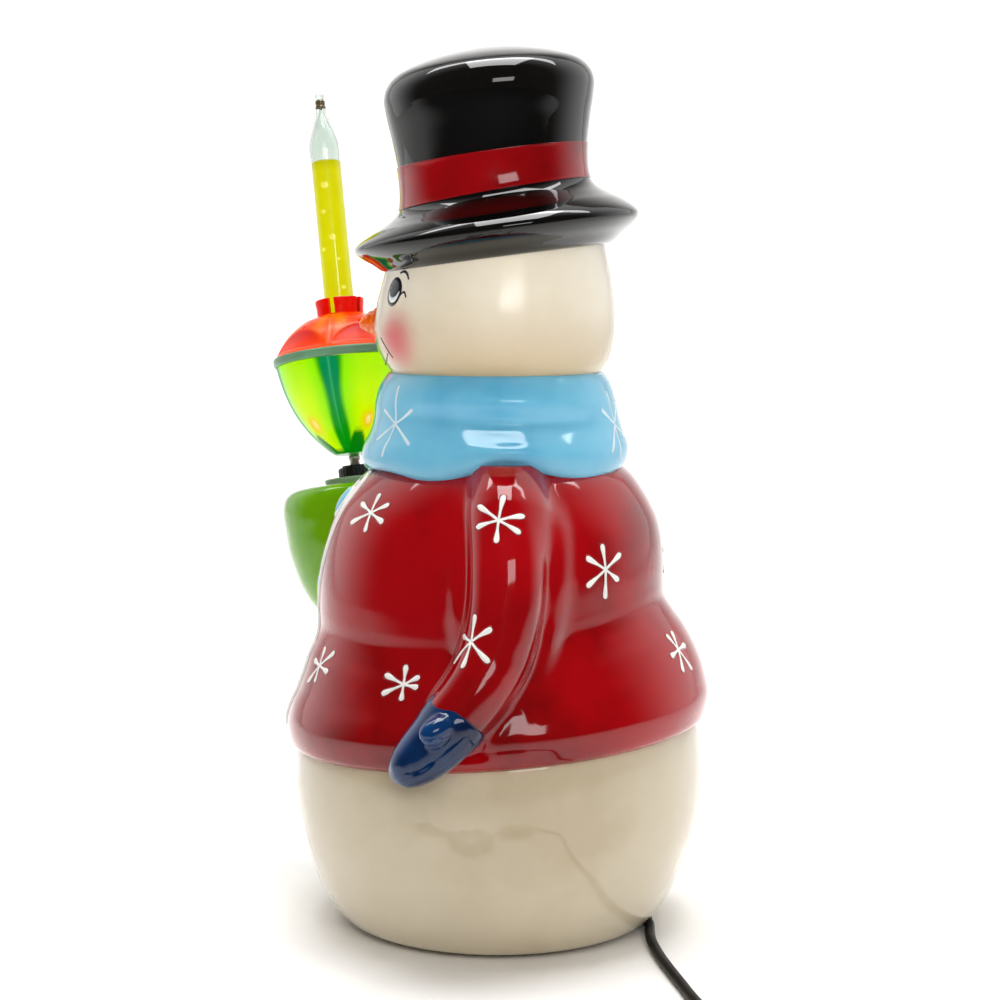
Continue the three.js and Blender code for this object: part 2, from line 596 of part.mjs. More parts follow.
// Assembly
const model = new THREE.Group();
model.add(
  piece('lower_body', lowerBody(), 'cream'),
  piece('jacket', jacketSolid.subtract(closedSolid(rodBetween(LEAD_HOLE.from, LEAD_HOLE.to, LEAD_HOLE.r))), 'red'),
  piece('front_trim', frontTrim(), 'cream'),
  ...BUTTONS.map((middle, i) => piece(`front_button_${i + 1}`, frontButton(middle), 'blue')),
  piece('scarf', castShell(SCARF_ROWS, WALL, () => {}), 'blue'),
  piece('head', castShell(HEAD_ROWS, WALL, leanHead), 'cream'),
  piece('nose', nose(), 'orange'),
  piece('hat', hat(), 'black'),
  piece('hat_band', hatBand(), 'red'),
);
const scarfClear = envelope([[COLLAR_Z - 4, 55, 54], ...SCARF_ROWS], GAP, () => {});
model.add(
  piece('left_sleeve', biggest(leftSleeve.subtract(jacketClear).subtract(scarfClear)), 'red'),
  piece('left_mitten', biggest(limb(LEFT_MITTEN, MITTEN_RADII)
    .add(thumb([92, -9, 104], [97.5, -15, 100], 5)).subtract(leftSleeveClear)
    .subtract(jacketClear).subtract(ballClear)), 'navy'),
  piece('right_sleeve', biggest(rightSleeve.subtract(jacketClear).subtract(scarfClear).subtract(holderClear)), 'red'),
  piece('right_mitten', biggest(limb(RIGHT_MITTEN, MITTEN_RADII).subtract(rightSleeveClear)
    .subtract(jacketClear).subtract(holderClear)), 'navy'),
  piece('base_cover', baseCover(), 'board'),
  piece('base_felt', baseFelt(), 'felt'),
  piece('cord_grommet', grommet(), 'rubber'),
  piece('cord_clamp', cordClamp(), 'plastic'),
  piece('inner_lead', roundTube(INNER_ROUTE, CORD_R, 24), 'plastic'),
);
lightGroup.add(
  piece('light_holder', holderSolid(), 'holderGreen'),
  piece('socket_body', socketBody(), 'socket'),
  piece('socket_contact', lathe([[0, -SOCKET_DEPTH - 3], [2.2, -SOCKET_DEPTH - 3], [2.2, -SOCKET_DEPTH + 0.4],
    [0, -SOCKET_DEPTH + 0.4]], 14), 'brass'),
  piece('socket_disc', lathe(SOCKET_DISC, LIGHT_SIDES), 'disc'),
  piece('collar_nut', lathe(COLLAR_NUT, LIGHT_SIDES), 'socket'),
  piece('light_stem', lathe([[0, 1 - SOCKET_DEPTH], [STEM_R, 1 - SOCKET_DEPTH], [STEM_R, 14], [0, 14]], 14), 'steel'),
  piece('bulb_holder', lathe([[0, 14.3], [5.4, 14.3], [5.4, 26], [0, 26]], 16), 'socket'),
  piece('lamp_bulb', lathe(BULB_PROFILE, 16), 'bulb'),
  piece('light_cup', lathe([...CUP_OUTER, ...CUP_INNER], LIGHT_SIDES), 'cup'),
  piece('cup_rim', lathe(RIM_RING, LIGHT_SIDES), 'rim'),
  piece('light_dome', domeSolid(), 'dome'),
  piece('vial', vialShape(), 'glass'),
  piece('vial_liquid', lathe(LIQUID, 16), 'liquid'),
  piece('vial_tip', lathe(VIAL_TIP, 12), 'glass'),
);
model.add(
  lightGroup,
  piece('cord_lead_a', roundTube(TABLE_ROUTE, CORD_R, 30), 'plastic'),
  piece('switch_bottom', switchShell(0, SWITCH.half - GAP / 2), 'plastic'),
  piece('switch_top', switchTop(), 'plastic'),
  piece('switch_rocker', rocker(), 'socket'),
  piece('cord_lead_b', roundTube(COIL_ROUTE, CORD_R, 6), 'plastic'),
  piece('cord_coil', lathe(tubeProfile(COIL.inner, COIL.outer, COIL.low, COIL.high), 32)
    .translate(COIL.x, COIL.y, 0), 'plastic'),
  piece('coil_tie', coilTie(), 'rubber'),
  piece('cord_lead_c', roundTube(PLUG_ROUTE, CORD_R, 8), 'plastic'),
  piece('plug_body', plugBody(), 'plastic'),
  piece('plug_blades', plugBlades(), 'brass'),
);

export default model;
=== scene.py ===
"""A glazed ceramic snowman lamp with an oversized bubble light. Metres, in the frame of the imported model."""
import json
import math

import bmesh
import bpy
import numpy as np
from mathutils import Matrix, Vector
from mathutils.bvhtree import BVHTree


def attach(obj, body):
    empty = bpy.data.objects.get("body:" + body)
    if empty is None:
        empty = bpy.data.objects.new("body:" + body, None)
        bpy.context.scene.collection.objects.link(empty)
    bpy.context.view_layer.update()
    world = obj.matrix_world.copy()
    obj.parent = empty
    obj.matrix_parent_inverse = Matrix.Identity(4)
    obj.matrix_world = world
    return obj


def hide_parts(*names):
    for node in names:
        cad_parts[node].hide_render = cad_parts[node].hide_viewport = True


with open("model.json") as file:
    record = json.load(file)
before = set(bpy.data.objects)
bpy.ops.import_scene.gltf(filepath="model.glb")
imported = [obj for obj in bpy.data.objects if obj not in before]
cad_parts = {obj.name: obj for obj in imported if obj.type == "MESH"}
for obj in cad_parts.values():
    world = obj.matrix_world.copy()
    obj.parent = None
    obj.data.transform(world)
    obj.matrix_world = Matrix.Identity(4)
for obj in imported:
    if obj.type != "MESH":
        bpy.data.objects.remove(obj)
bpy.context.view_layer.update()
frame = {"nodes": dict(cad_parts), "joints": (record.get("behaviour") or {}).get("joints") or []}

MM = 0.001
UP = Vector((0, 0, 1))


def srgb(*channels):
    """Linear colour of 0..255 screen values."""
    return tuple(((c / 255 + 0.055) / 1.055) ** 2.4 if c > 10 else c / 255 / 12.92 for c in channels)


def placed(name, data):
    """A new object in the scene."""
    piece = bpy.data.objects.new(name, data)
    bpy.context.scene.collection.objects.link(piece)
    return piece


# ---------------------------------------------------------------- camera
CAMERA_PLACE = (0.8826, 0.0772, 0.272)
CAMERA_TURN = math.radians(95)
CAMERA_PITCH = math.radians(6.2)
LENS_MM = 77.4
SENSOR_MM = 36
LENS_SHIFT = 0.0015


def add_camera():
    data = bpy.data.cameras.new("camera")
    data.lens = LENS_MM
    data.sensor_width = SENSOR_MM
    data.shift_x = LENS_SHIFT
    camera = placed("camera", data)
    camera.location = CAMERA_PLACE
    camera.rotation_euler = (math.pi / 2 - CAMERA_PITCH, 0, CAMERA_TURN)
    bpy.context.scene.camera = camera


add_camera()
bpy.context.scene.view_settings.view_transform = "Standard"


# ---------------------------------------------------------------- mesh helpers
def smoothed(mesh):
    """Shades every face of a mesh smooth."""
    mesh.polygons.foreach_set("use_smooth", [True] * len(mesh.polygons))
    return mesh


def kept(work, name):
    """The mesh that a bmesh has become."""
    mesh = bpy.data.meshes.new(name)
    work.to_mesh(mesh)
    work.free()
    return mesh


def upright_at(place, way):
    """Matrix that stands a turned piece at a place in metres with its own Z along a direction."""
    return Matrix.Translation(place) @ UP.rotation_difference(way).to_matrix().to_4x4()


def link(name, verts, faces):
    mesh = bpy.data.meshes.new(name)
    mesh.from_pydata([tuple(v) for v in verts], [], faces)
    mesh.update()
    piece = placed(name, mesh)
    tidy(piece)
    smoothed(mesh)
    return piece


def tidy(piece):
    """Merges doubled corners, drops faces without area and turns every face outwards."""
    work = bmesh.new()
    work.from_mesh(piece.data)
    bmesh.ops.remove_doubles(work, verts=work.verts, dist=1e-7)
    bmesh.ops.dissolve_degenerate(work, edges=work.edges, dist=1e-8)
    bmesh.ops.recalc_face_normals(work, faces=work.faces)
    work.to_mesh(piece.data)
    work.free()


def grid_faces(rows, columns, ring=False, first=0):
    """Faces of a tube of rows; ring also joins its last row to its first, or else its ends are capped."""
    faces = []
    for i in range(rows if ring else rows - 1):
        a, b = first + i * columns, first + (i + 1) % rows * columns
        for j in range(columns):
            k = (j + 1) % columns
            faces.append((a + j, a + k, b + k, b + j))
    if not ring:
        faces.append(tuple(range(first, first + columns))[::-1])
        faces.append(tuple(range(first + (rows - 1) * columns, first + rows * columns)))
    return faces


def grid(name, points, ring=False):
    """A closed skin over rows of points (rows, columns, 3), in metres."""
    return link(name, points.reshape(-1, 3), grid_faces(*points.shape[:2], ring))


def spline(points, per=8):
    """Smooth curve through points; a point given twice in a row stays a corner."""
    points = [np.array(p, float) for p in points]
    runs, run = [], [points[0]]
    for p in points[1:]:
        if np.allclose(p, run[-1]):
            runs.append(run)
            run = [p]
        else:
            run.append(p)
    runs.append(run)
    out = []
    for run in runs:
        if len(run) == 1:
            continue
        padded = [2 * run[0] - run[1], *run, 2 * run[-1] - run[-2]]
        for i in range(1, len(padded) - 2):
            p0, p1, p2, p3 = padded[i - 1:i + 3]
            t1 = np.linalg.norm(p1 - p0) ** 0.5
            t2 = t1 + np.linalg.norm(p2 - p1) ** 0.5
            t3 = t2 + np.linalg.norm(p3 - p2) ** 0.5
            for t in np.linspace(t1, t2, per, endpoint=False):
                a1 = (t1 - t) / t1 * p0 + t / t1 * p1
                a2 = (t2 - t) / (t2 - t1) * p1 + (t - t1) / (t2 - t1) * p2
                a3 = (t3 - t) / (t3 - t2) * p2 + (t - t2) / (t3 - t2) * p3
                b1 = (t2 - t) / t2 * a1 + t / t2 * a2
                b2 = (t3 - t) / (t3 - t1) * a2 + (t - t1) / (t3 - t1) * a3
                out.append((t2 - t) / (t2 - t1) * b1 + (t - t1) / (t2 - t1) * b2)
        out.append(run[-1])
    return np.array(out)


def evened(curve, count=None, step=1.0):
    """Points evenly spaced along a curve: so many of them, or else one about every step."""
    along = np.concatenate([[0], np.cumsum(np.linalg.norm(np.diff(curve, axis=0), axis=1))])
    at = np.linspace(0, along[-1], count or int(along[-1] / step) + 1)
    return np.stack([np.interp(at, along, curve[:, k]) for k in range(3)], axis=1)


def ease(low, high, value):
    """0 below low, 1 above high and smooth between them."""
    t = np.clip((value - low) / (high - low), 0, 1)
    return t * t * (3 - 2 * t)


def turned(profile, segments, per, ring=False, shape=None):
    """Points in mm of a profile of (radius, height) turned about Z: (rows, segments, 3)."""
    curve = spline([*profile, profile[0]] if ring else profile, per)
    if ring:
        curve = curve[:-1]
    angle = np.linspace(0, 2 * math.pi, segments, endpoint=False)[None, :]
    radius = np.maximum(curve[:, :1], 0) + 0 * angle
    height = curve[:, 1:] + 0 * angle
    if shape:
        radius = shape(angle, radius, height)
    return np.stack([radius * np.cos(angle), radius * np.sin(angle), height], axis=-1)


def revolve(name, profile, segments, per, ring=False, shape=None, place=None):
    """A turned piece. ring closes the profile on itself, for a hollow piece; shape changes the radius of every
    point from its bearing and height; place is a matrix in metres."""
    piece = grid(name, turned(profile, segments, per, ring, shape) * MM, ring)
    if place is not None:
        piece.data.transform(place)
    return piece


def ring_frames(path):
    """Tangent, side and top vectors along a path, without twist."""
    tangent = np.gradient(path, axis=0)
    tangent /= np.linalg.norm(tangent, axis=1)[:, None]
    side = np.cross(tangent[0], (0.3, 0.2, 1.0))
    side /= np.linalg.norm(side)
    sides = []
    for t in tangent:
        side = side - t * side.dot(t)
        side /= np.linalg.norm(side)
        sides.append(side)
    sides = np.array(sides)
    return tangent, sides, np.cross(tangent, sides)


def sweep(name, path, radii, sides, flatten=1.0):
    """A round-ended limb along a path in mm with a radius at each point."""
    tangent, side, top = ring_frames(path)
    angle = np.linspace(0, 2 * math.pi, sides, endpoint=False)
    radii = np.broadcast_to(radii, len(path))[:, None, None]
    across, up = np.cos(angle)[None, :, None], np.sin(angle)[None, :, None]
    ring = side[:, None] * across + flatten * top[:, None] * up
    return grid(name, (path[:, None] + ring * radii) * MM)


def tube(name, path, section):
    """A section of (side, up) points in mm carried along a path in mm."""
    tangent, side, top = ring_frames(path)
    return grid(name, (path[:, None] + side[:, None] * section[:, :1] + top[:, None] * section[:, 1:]) * MM)


def applied(piece, *modifiers):
    """Runs modifiers, each (kind, settings), and keeps their result as the piece's own mesh."""
    for kind, settings in modifiers:
        modifier = piece.modifiers.new(kind.lower(), kind)
        for key, value in settings.items():
            setattr(modifier, key, value)
    bpy.context.view_layer.update()
    result = piece.evaluated_get(bpy.context.evaluated_depsgraph_get())
    mesh = bpy.data.meshes.new_from_object(result)
    piece.modifiers.clear()
    piece.data = smoothed(mesh)
    return piece


def joined(name, parts):
    """One piece out of several."""
    work = bmesh.new()
    for part in parts:
        work.from_mesh(part.data)
        bpy.data.objects.remove(part)
    return placed(name, smoothed(kept(work, name)))


def fused(name, parts, voxel=0.7):
    """Limbs grown together into one soft skin; voxel is in mm."""
    piece = joined(name, parts)
    return applied(piece, ("REMESH", {"mode": "VOXEL", "voxel_size": voxel * MM}),
                   ("SMOOTH", {"factor": 0.5, "iterations": 14}))


HARD_EDGE = math.radians(32)    # a CAD edge that bends more than this is rounded over
CREASE = math.radians(38)       # a rounded piece keeps a crease where it still bends more than this


def rounded_copy(node, material, radius, body="root"):
    """The CAD node's shape with every hard edge rounded over, radius in mm."""
    work = bmesh.new()
    work.from_mesh(frame["nodes"][node].data)
    bmesh.ops.remove_doubles(work, verts=work.verts, dist=2e-6)
    bmesh.ops.dissolve_limit(work, angle_limit=math.radians(1), verts=work.verts, edges=work.edges)
    hard = [e for e in work.edges if e.is_manifold and e.calc_face_angle() > HARD_EDGE]
    bmesh.ops.bevel(work, geom=hard, offset=radius * MM, offset_type="OFFSET", segments=3, profile=0.5,
                    affect="EDGES", clamp_overlap=True)
    bmesh.ops.recalc_face_normals(work, faces=work.faces)
    mesh = smoothed(kept(work, node + "_moulded"))
    mesh.set_sharp_from_angle(angle=CREASE)
    return finish_piece(placed(mesh.name, mesh), material, body, (node,))


def finish_piece(piece, material, body="root", replaces=()):
    piece.data.materials.clear()
    piece.data.materials.append(material)
    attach(piece, body)
    if replaces:
        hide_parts(*replaces)
    return piece


def paint_node(node, material):
    """Gives a CAD node that stays visible its finish."""
    piece = frame["nodes"][node]
    piece.data.materials.clear()
    piece.data.materials.append(material)
    piece.data.polygons.foreach_set("use_smooth", [False] * len(piece.data.polygons))


# ---------------------------------------------------------------- materials
class Nodes:
    """Short way to build one Principled material."""

    def __init__(self, name, color, roughness, **sockets):
        self.material = bpy.data.materials.new(name)
        self.material.use_nodes = True
        self.tree = self.material.node_tree
        self.shader = self.tree.nodes["Principled BSDF"]
        self.set("Base Color", (*color, 1))
        self.set("Roughness", roughness)
        for key, value in sockets.items():
            self.set(key.replace("_", " "), value)

    def set(self, socket, value):
        self.shader.inputs[socket].default_value = value

    def new(self, kind, **inputs):
        node = self.tree.nodes.new(kind)
        for key, value in inputs.items():
            node.inputs[key.replace("_", " ")].default_value = value
        return node

    def wire(self, source, target):
        self.tree.links.new(source, target)

    def paint(self, source):
        self.wire(source, self.shader.inputs["Base Color"])

    def coordinate(self):
        return self.new("ShaderNodeTexCoord").outputs["Object"]

    def along(self, axis):
        """Distance along the object's own axis, in metres."""
        split = self.new("ShaderNodeSeparateXYZ")
        self.wire(self.coordinate(), split.inputs[0])
        return split.outputs[axis]

    def noise(self, scale, detail=3.0, roughness=0.5, stretch=None):
        node = self.new("ShaderNodeTexNoise", Scale=scale, Detail=detail, Roughness=roughness)
        source = self.coordinate()
        if stretch:
            mapping = self.new("ShaderNodeMapping", Scale=stretch)
            self.wire(source, mapping.inputs["Vector"])
            source = mapping.outputs["Vector"]
        self.wire(source, node.inputs["Vector"])
        return node.outputs["Fac"]

    def ramp(self, source, *stops):
        node = self.new("ShaderNodeValToRGB")
        elements = node.color_ramp.elements
        while len(elements) < len(stops):
            elements.new(0.5)
        for element, (position, color) in zip(elements, stops):
            element.position = position
            element.color = (*color, 1) if len(color) == 3 else color
        self.wire(source, node.inputs["Fac"])
        return node.outputs["Color"]

    def mapped(self, source, kind="LINEAR", **ends):
        """A value carried from the span From_Min to From_Max onto the span To_Min to To_Max."""
        node = self.new("ShaderNodeMapRange", **ends)
        node.interpolation_type = kind
        self.wire(source, node.inputs["Value"])
        return node.outputs["Result"]

    def level(self, source, low, high):
        return self.mapped(source, To_Min=low, To_Max=high)

    def laid_over(self, under, color, factor, blend="MIX"):
        """A colour mixed over another one by a factor."""
        node = self.new("ShaderNodeMix")
        node.data_type = "RGBA"
        node.blend_type = blend
        self.wire(factor, node.inputs["Factor"])
        self.wire(under, node.inputs["A"])
        node.inputs["B"].default_value = (*color, 1)
        return node.outputs["Result"]

    def dimmed(self, source, factor):
        """A colour times a value."""
        node = self.new("ShaderNodeVectorMath")
        node.operation = "SCALE"
        self.wire(source, node.inputs[0])
        self.wire(factor, node.inputs["Scale"])
        return node.outputs["Vector"]

    def bump(self, source, distance, strength=1.0, below=None):
        node = self.new("ShaderNodeBump", Strength=strength, Distance=distance)
        self.wire(source, node.inputs["Height"])
        if below:
            self.wire(below, node.inputs["Normal"])
        self.wire(node.outputs["Normal"], self.shader.inputs["Normal"])
        return node.outputs["Normal"]


def scaled(color, factor):
    return tuple(min(c * factor, 1) for c in color)


def glaze(name, color, deep, pale, roughness=0.07, pooling=0.35, coat=0.03):
    """Fired glaze: thicker and darker where it pools, faint waviness and pin-point specks."""
    n = Nodes(name, color, roughness, Coat_Weight=0.8, Coat_Roughness=coat, Coat_IOR=1.5,
              Specular_IOR_Level=0.12)
    cloud = n.noise(16.0, 4.0, 0.55)
    n.paint(n.ramp(cloud, (0.5 - pooling / 2, deep), (0.5, color), (0.5 + pooling, pale)))
    n.wire(n.level(n.noise(60.0, 3.0), roughness * 0.7, roughness * 1.5), n.shader.inputs["Roughness"])
    wave = n.bump(n.noise(34.0, 2.0), 0.00045, 0.35)
    n.bump(n.noise(420.0, 3.0, 0.6), 0.00004, 0.3, below=wave)
    return n


def plastic(name, color, roughness, grain=900.0, depth=0.00003, **sockets):
    n = Nodes(name, color, roughness, **sockets)
    n.paint(n.ramp(n.noise(55.0, 4.0), (0.35, scaled(color, 0.82)), (0.65, scaled(color, 1.12))))
    n.wire(n.level(n.noise(140.0, 4.0), roughness * 0.75, roughness * 1.3), n.shader.inputs["Roughness"])
    n.bump(n.noise(grain, 3.0), depth, 0.6)
    return n


# the ball's cream is darker than the head's: painted shade for the light falling off towards the floor
shaded_ball_glaze = glaze("shaded_ball_glaze", srgb(208, 196, 171), srgb(196, 182, 154), srgb(216, 206, 184)).material
red_glaze = glaze("red_glaze", srgb(158, 0, 9), srgb(120, 0, 4), srgb(174, 3, 16), coat=0.07).material
blue_glaze = glaze("blue_glaze", srgb(112, 190, 224), srgb(84, 168, 212), srgb(132, 204, 232),
                   coat=0.08).material
navy_glaze = glaze("navy_glaze", srgb(5, 60, 116), srgb(2, 24, 60), srgb(18, 94, 152)).material
black_glaze = glaze("black_glaze", srgb(9, 8, 8), srgb(4, 4, 4), srgb(18, 16, 16), 0.05).material
orange_glaze = glaze("orange_glaze", srgb(254, 112, 10), srgb(240, 88, 4), srgb(254, 138, 30)).material
leaf_glaze = glaze("leaf_glaze", srgb(112, 176, 4), srgb(90, 150, 0), srgb(136, 196, 24), 0.14).material
slip_white = glaze("slip_white", srgb(250, 250, 248), srgb(236, 236, 234), srgb(254, 254, 252), 0.3).material
pale_slip = glaze("pale_slip", srgb(206, 228, 240), srgb(184, 216, 234), srgb(222, 238, 246), 0.25).material
ink = plastic("painted_ink", srgb(28, 28, 32), 0.18).material


# ---------------------------------------------------------------- mains lead
CORD_R = 2.1
CORD_WIDE = 2 * CORD_R
CORD_LOW = CORD_R + 0.1
GROOVE_DEPTH = 0.24       # of the groove along each side of the jacket, mm
LEAD_STEP = 2.4           # between two rows of points along the lead, mm
GROMMET_MIDDLE = (9.1, 59.75, 3.7)
GROMMET_TURN = math.radians(25)
GROMMET_NOSE = 6.8
SWITCH_X, SWITCH_Y, SWITCH_END, SWITCH_AXIS = 211, 48, 26.3, 7.4
COIL_X, COIL_Y, COIL_R, COIL_LOW = 182, -22, 28.9, 3.35
COIL_TURNS, COIL_STEPS = 8.086, 48


def along_grommet(s):
    x, y, z = GROMMET_MIDDLE
    return (x + s * math.cos(GROMMET_TURN), y + s * math.sin(GROMMET_TURN), z)


TABLE_ROUTE = [
    along_grommet(GROMMET_NOSE), (19.4, 63.9, 3.2), (26, 64.3, CORD_LOW), (38.7, 65.2, CORD_LOW),
    (57.3, 68.6, CORD_LOW), (74.9, 73, CORD_LOW), (91.6, 77.6, CORD_LOW), (108.3, 82.2, CORD_LOW),
    (124.6, 88, CORD_LOW), (142, 96.6, CORD_LOW), (159, 105.8, CORD_LOW), (177, 112, CORD_LOW),
    (194, 110, CORD_LOW), (206, 99, 3), (210.4, 86, 6), (SWITCH_X, SWITCH_Y + SWITCH_END, SWITCH_AXIS),
]
COIL_ROUTE = [
    (SWITCH_X, SWITCH_Y - SWITCH_END, SWITCH_AXIS), (SWITCH_X, 13, 5.6), (SWITCH_X, 4, 3.4),
    (SWITCH_X, -5.6, 3.2),
]
PLUG_ROUTE = [(210.4, -50, 3.2), (206, -60, 3.4), (198.6, -65.6, 4.8), (192, -77.5, 7.4), (192, -84.2, 7.5)]

# A turn of the coil steps one cord over or up: (from turn, to turn, across or up, how far in mm).
# The last three rows are the long hump in which the lead climbs over its own turns and comes down outside.
COIL_STEPS_OVER = [
    (0.75, 1.0, "across", -CORD_WIDE), (1.75, 2.0, "across", -CORD_WIDE), (2.60, 2.85, "up", CORD_WIDE),
    (3.35, 3.60, "across", CORD_WIDE), (4.35, 4.60, "across", CORD_WIDE), (5.10, 5.35, "up", CORD_WIDE),
    (5.70, 5.95, "across", -CORD_WIDE), (6.70, 6.95, "across", -CORD_WIDE),
    (7.58, 7.80, "up", CORD_WIDE), (7.74, COIL_TURNS, "across", 13.5), (7.87, COIL_TURNS, "up", -10.55),
]


def coil_path():
    points = []
    for turn in np.arange(0, COIL_TURNS, 1 / COIL_STEPS):
        r, z = COIL_R, COIL_LOW
        for start, end, way, far in COIL_STEPS_OVER:
            moved = far * ease(start, end, turn)
            r, z = (r + moved, z) if way == "across" else (r, z + moved)
        angle = -2 * math.pi * turn
        points.append((COIL_X + r * math.cos(angle), COIL_Y + r * math.sin(angle), z))
    return points


def make_lead():
    """Twin-core lead: a round jacket with a shallow groove along each side."""
    coil = coil_path()
    loose = np.concatenate([spline(TABLE_ROUTE, 6), spline(COIL_ROUTE, 6), coil[:1]])
    tail = spline([coil[-6], coil[-1], *PLUG_ROUTE], 6)[6:]
    path = evened(np.concatenate([loose, coil[1:-1], tail]), step=LEAD_STEP)
    angle = np.linspace(0, 2 * math.pi, 20, endpoint=False)
    groove = sum(np.exp(-((angle - middle) / 0.2) ** 2) for middle in (math.pi / 2, 1.5 * math.pi))
    radius = CORD_R - GROOVE_DEPTH * groove
    section = np.stack([radius * np.cos(angle), radius * np.sin(angle)], axis=1)
    piece = tube("mains_lead", path, section)
    finish_piece(piece, cord_jacket,
                 replaces=("cord_lead_a", "cord_lead_b", "cord_coil", "cord_lead_c"))
    return piece, path


cord_jacket = plastic("cord_jacket", srgb(9, 8, 6), 0.42, 1400.0, Specular_IOR_Level=0.12).material
black_plastic = plastic("black_plastic", srgb(17, 17, 18), 0.3).material
rocker_plastic = plastic("rocker_plastic", srgb(24, 24, 26), 0.16).material
rubber = plastic("rubber", srgb(22, 22, 22), 0.62, 1600.0, 0.00005).material
steel = plastic("stem_steel", srgb(206, 198, 184), 0.34, 700.0, Metallic=0.7).material
brass = plastic("brass", srgb(196, 158, 84), 0.28, 700.0, Metallic=1.0).material


def make_plug_relief():
    """Tapered, ribbed sleeve where the lead enters the plug."""
    ribs = 6
    profile = [(2.2, 24.0), (2.9, 24.0), (3.05, 23.4)]
    for i in range(ribs):
        top = 22.0 - 3.4 * i
        r = 3.1 + 0.42 * i
        profile += [(r, top), (r + 0.12, top - 1.7), (r - 0.45, top - 2.1), (r - 0.4, top - 2.9)]
    profile += [(5.9, 0.8), (5.9, -1.0), (2.2, -1.0)]
    back = Vector(PLUG_ROUTE[-1])
    place = upright_at(back * MM, Vector(PLUG_ROUTE[-2]) - back)
    piece = revolve("plug_relief", profile, 40, 2, ring=True, place=place)
    return finish_piece(piece, black_plastic)


def make_lead_pieces():
    switch = [
        rounded_copy("switch_bottom", black_plastic, 1.4),
        rounded_copy("switch_top", black_plastic, 1.4),
        rounded_copy("switch_rocker", rocker_plastic, 0.8, "switch_rocker"),
    ]
    plug = [
        rounded_copy("plug_body", black_plastic, 1.8),
        rounded_copy("plug_blades", brass, 0.35),
        make_plug_relief(),
    ]
    tie = rounded_copy("coil_tie", rubber, 0.35)
    profile = [(2.5, -6.5), (3.5, -6.5), (3.5, -6.5), (3.55, 1.0), (3.3, 4.6), (2.8, 6.4), (2.5, 6.4)]
    out = Vector((math.cos(GROMMET_TURN), math.sin(GROMMET_TURN), 0))
    place = upright_at(Vector(GROMMET_MIDDLE) * MM, out)
    grommet = revolve("cord_grommet_moulded", profile, 48, 4, ring=True, place=place)
    finish_piece(grommet, rubber, replaces=("cord_grommet",))
    return [*switch, *plug, tie, grommet]


lead, lead_path = make_lead()
make_lead_pieces()


# ---------------------------------------------------------------- shared shape of the castings
# Rows of (height, front radius, back radius) in mm; front is -Y.
BALL_ROWS = [
    (1.5, 60.5, 60.5), (2.4, 63.8, 63.4), (3.9, 66, 65.6), (9, 70.2, 69.8), (18, 75.2, 74.9),
    (30, 79.6, 79.6), (42, 82.7, 83.4), (55, 84.8, 85.2), (68, 85.3, 85), (80.5, 84.1, 83), (84, 82, 81),
]
JACKET_ROWS = [
    (79.6, 82, 81), (80.6, 84.4, 83.4), (82.5, 86.6, 85.8), (87, 87.9, 87.2), (92, 88, 87.7),
    (98, 86.3, 86.4), (105, 83.3, 84.2), (112, 81, 81), (119, 78.8, 77), (125, 76.2, 72.6),
    (131, 74.4, 69.2), (138, 74.4, 68.7), (148, 73.8, 68.6), (158, 72, 68), (168, 68.8, 66),
    (175, 65.4, 63), (181, 61, 59.4), (187, 55.4, 55), (191, 51, 50.8), (195, 47, 47),
]
SCARF_ROWS = [
    (189.3, 52.6, 50), (190.1, 54.8, 51.9), (193.6, 56.6, 53.4), (199, 55.8, 53.6), (204.5, 53, 51.7),
    (210, 51.4, 50), (217, 50.8, 48.6), (223, 49.2, 46.8), (227, 46.8, 44.8), (229.2, 44.6, 42.6),
    (229.4, 42, 40),
]
HEAD_ROWS = [
    (226, 42.5, 40.5), (228.7, 44.4, 42.4), (234, 47.8, 45.5), (240, 50.2, 47.2), (247, 51.3, 48),
    (254, 50.4, 48), (261, 49.6, 47), (268, 48.3, 45.3), (275, 46.8, 43.6), (279, 45.6, 43),
]


HEM_SLOPE, HEM_RADIUS = 0.075, 78      # the hem's slope from back to front, and its radius in mm
WAIST_DIP = 7                          # how far the waist hangs at the sides, mm
HEAD_SLOPE, HEAD_EDGE = 0.133, 46      # slope of the head's upper edge, and its radius in mm
HAT_FORWARD = 0.75                     # how far the hat's centre stands in front of the axis, mm


def apart_from(theta, middle):
    """Angle between two bearings, from -pi to pi."""
    return np.angle(np.exp(1j * (theta - middle)))


def jacket_lean(theta, z):
    """The hem and waist sit lower in front, and the waist dips at the sides."""
    drop = HEM_SLOPE * ease(40, 78, z) * (1 - ease(135, 176, z))
    dip = WAIST_DIP * ease(92, 122, z) * (1 - ease(135, 170, z))
    return drop * HEM_RADIUS * np.sin(theta) - dip * np.cos(theta) ** 2


def head_lean(theta, z):
    """The head's upper edge follows the hat, which is tipped forward."""
    return HEAD_SLOPE * ease(248, 275, z) * (HEAD_EDGE * np.sin(theta) + HAT_FORWARD)


def casting_points(rows, count, columns, lean=None, shape=None):
    """Skin of a casting in mm: (rows, columns, 3). shape changes its radius and height, and lean lifts it."""
    dense = evened(spline(rows, 12), count)
    theta = np.linspace(-math.pi / 2, 1.5 * math.pi, columns, endpoint=False)[None, :]
    z = dense[:, 0][:, None] * np.ones((1, columns))
    turn = (1 + np.sin(theta)) / 2
    r = dense[:, 1][:, None] * (1 - turn) + dense[:, 2][:, None] * turn
    if shape:
        r, z = shape(theta, r, z)
    return np.stack([r * np.cos(theta), r * np.sin(theta), z + lean(theta, z) if lean else z], axis=-1)


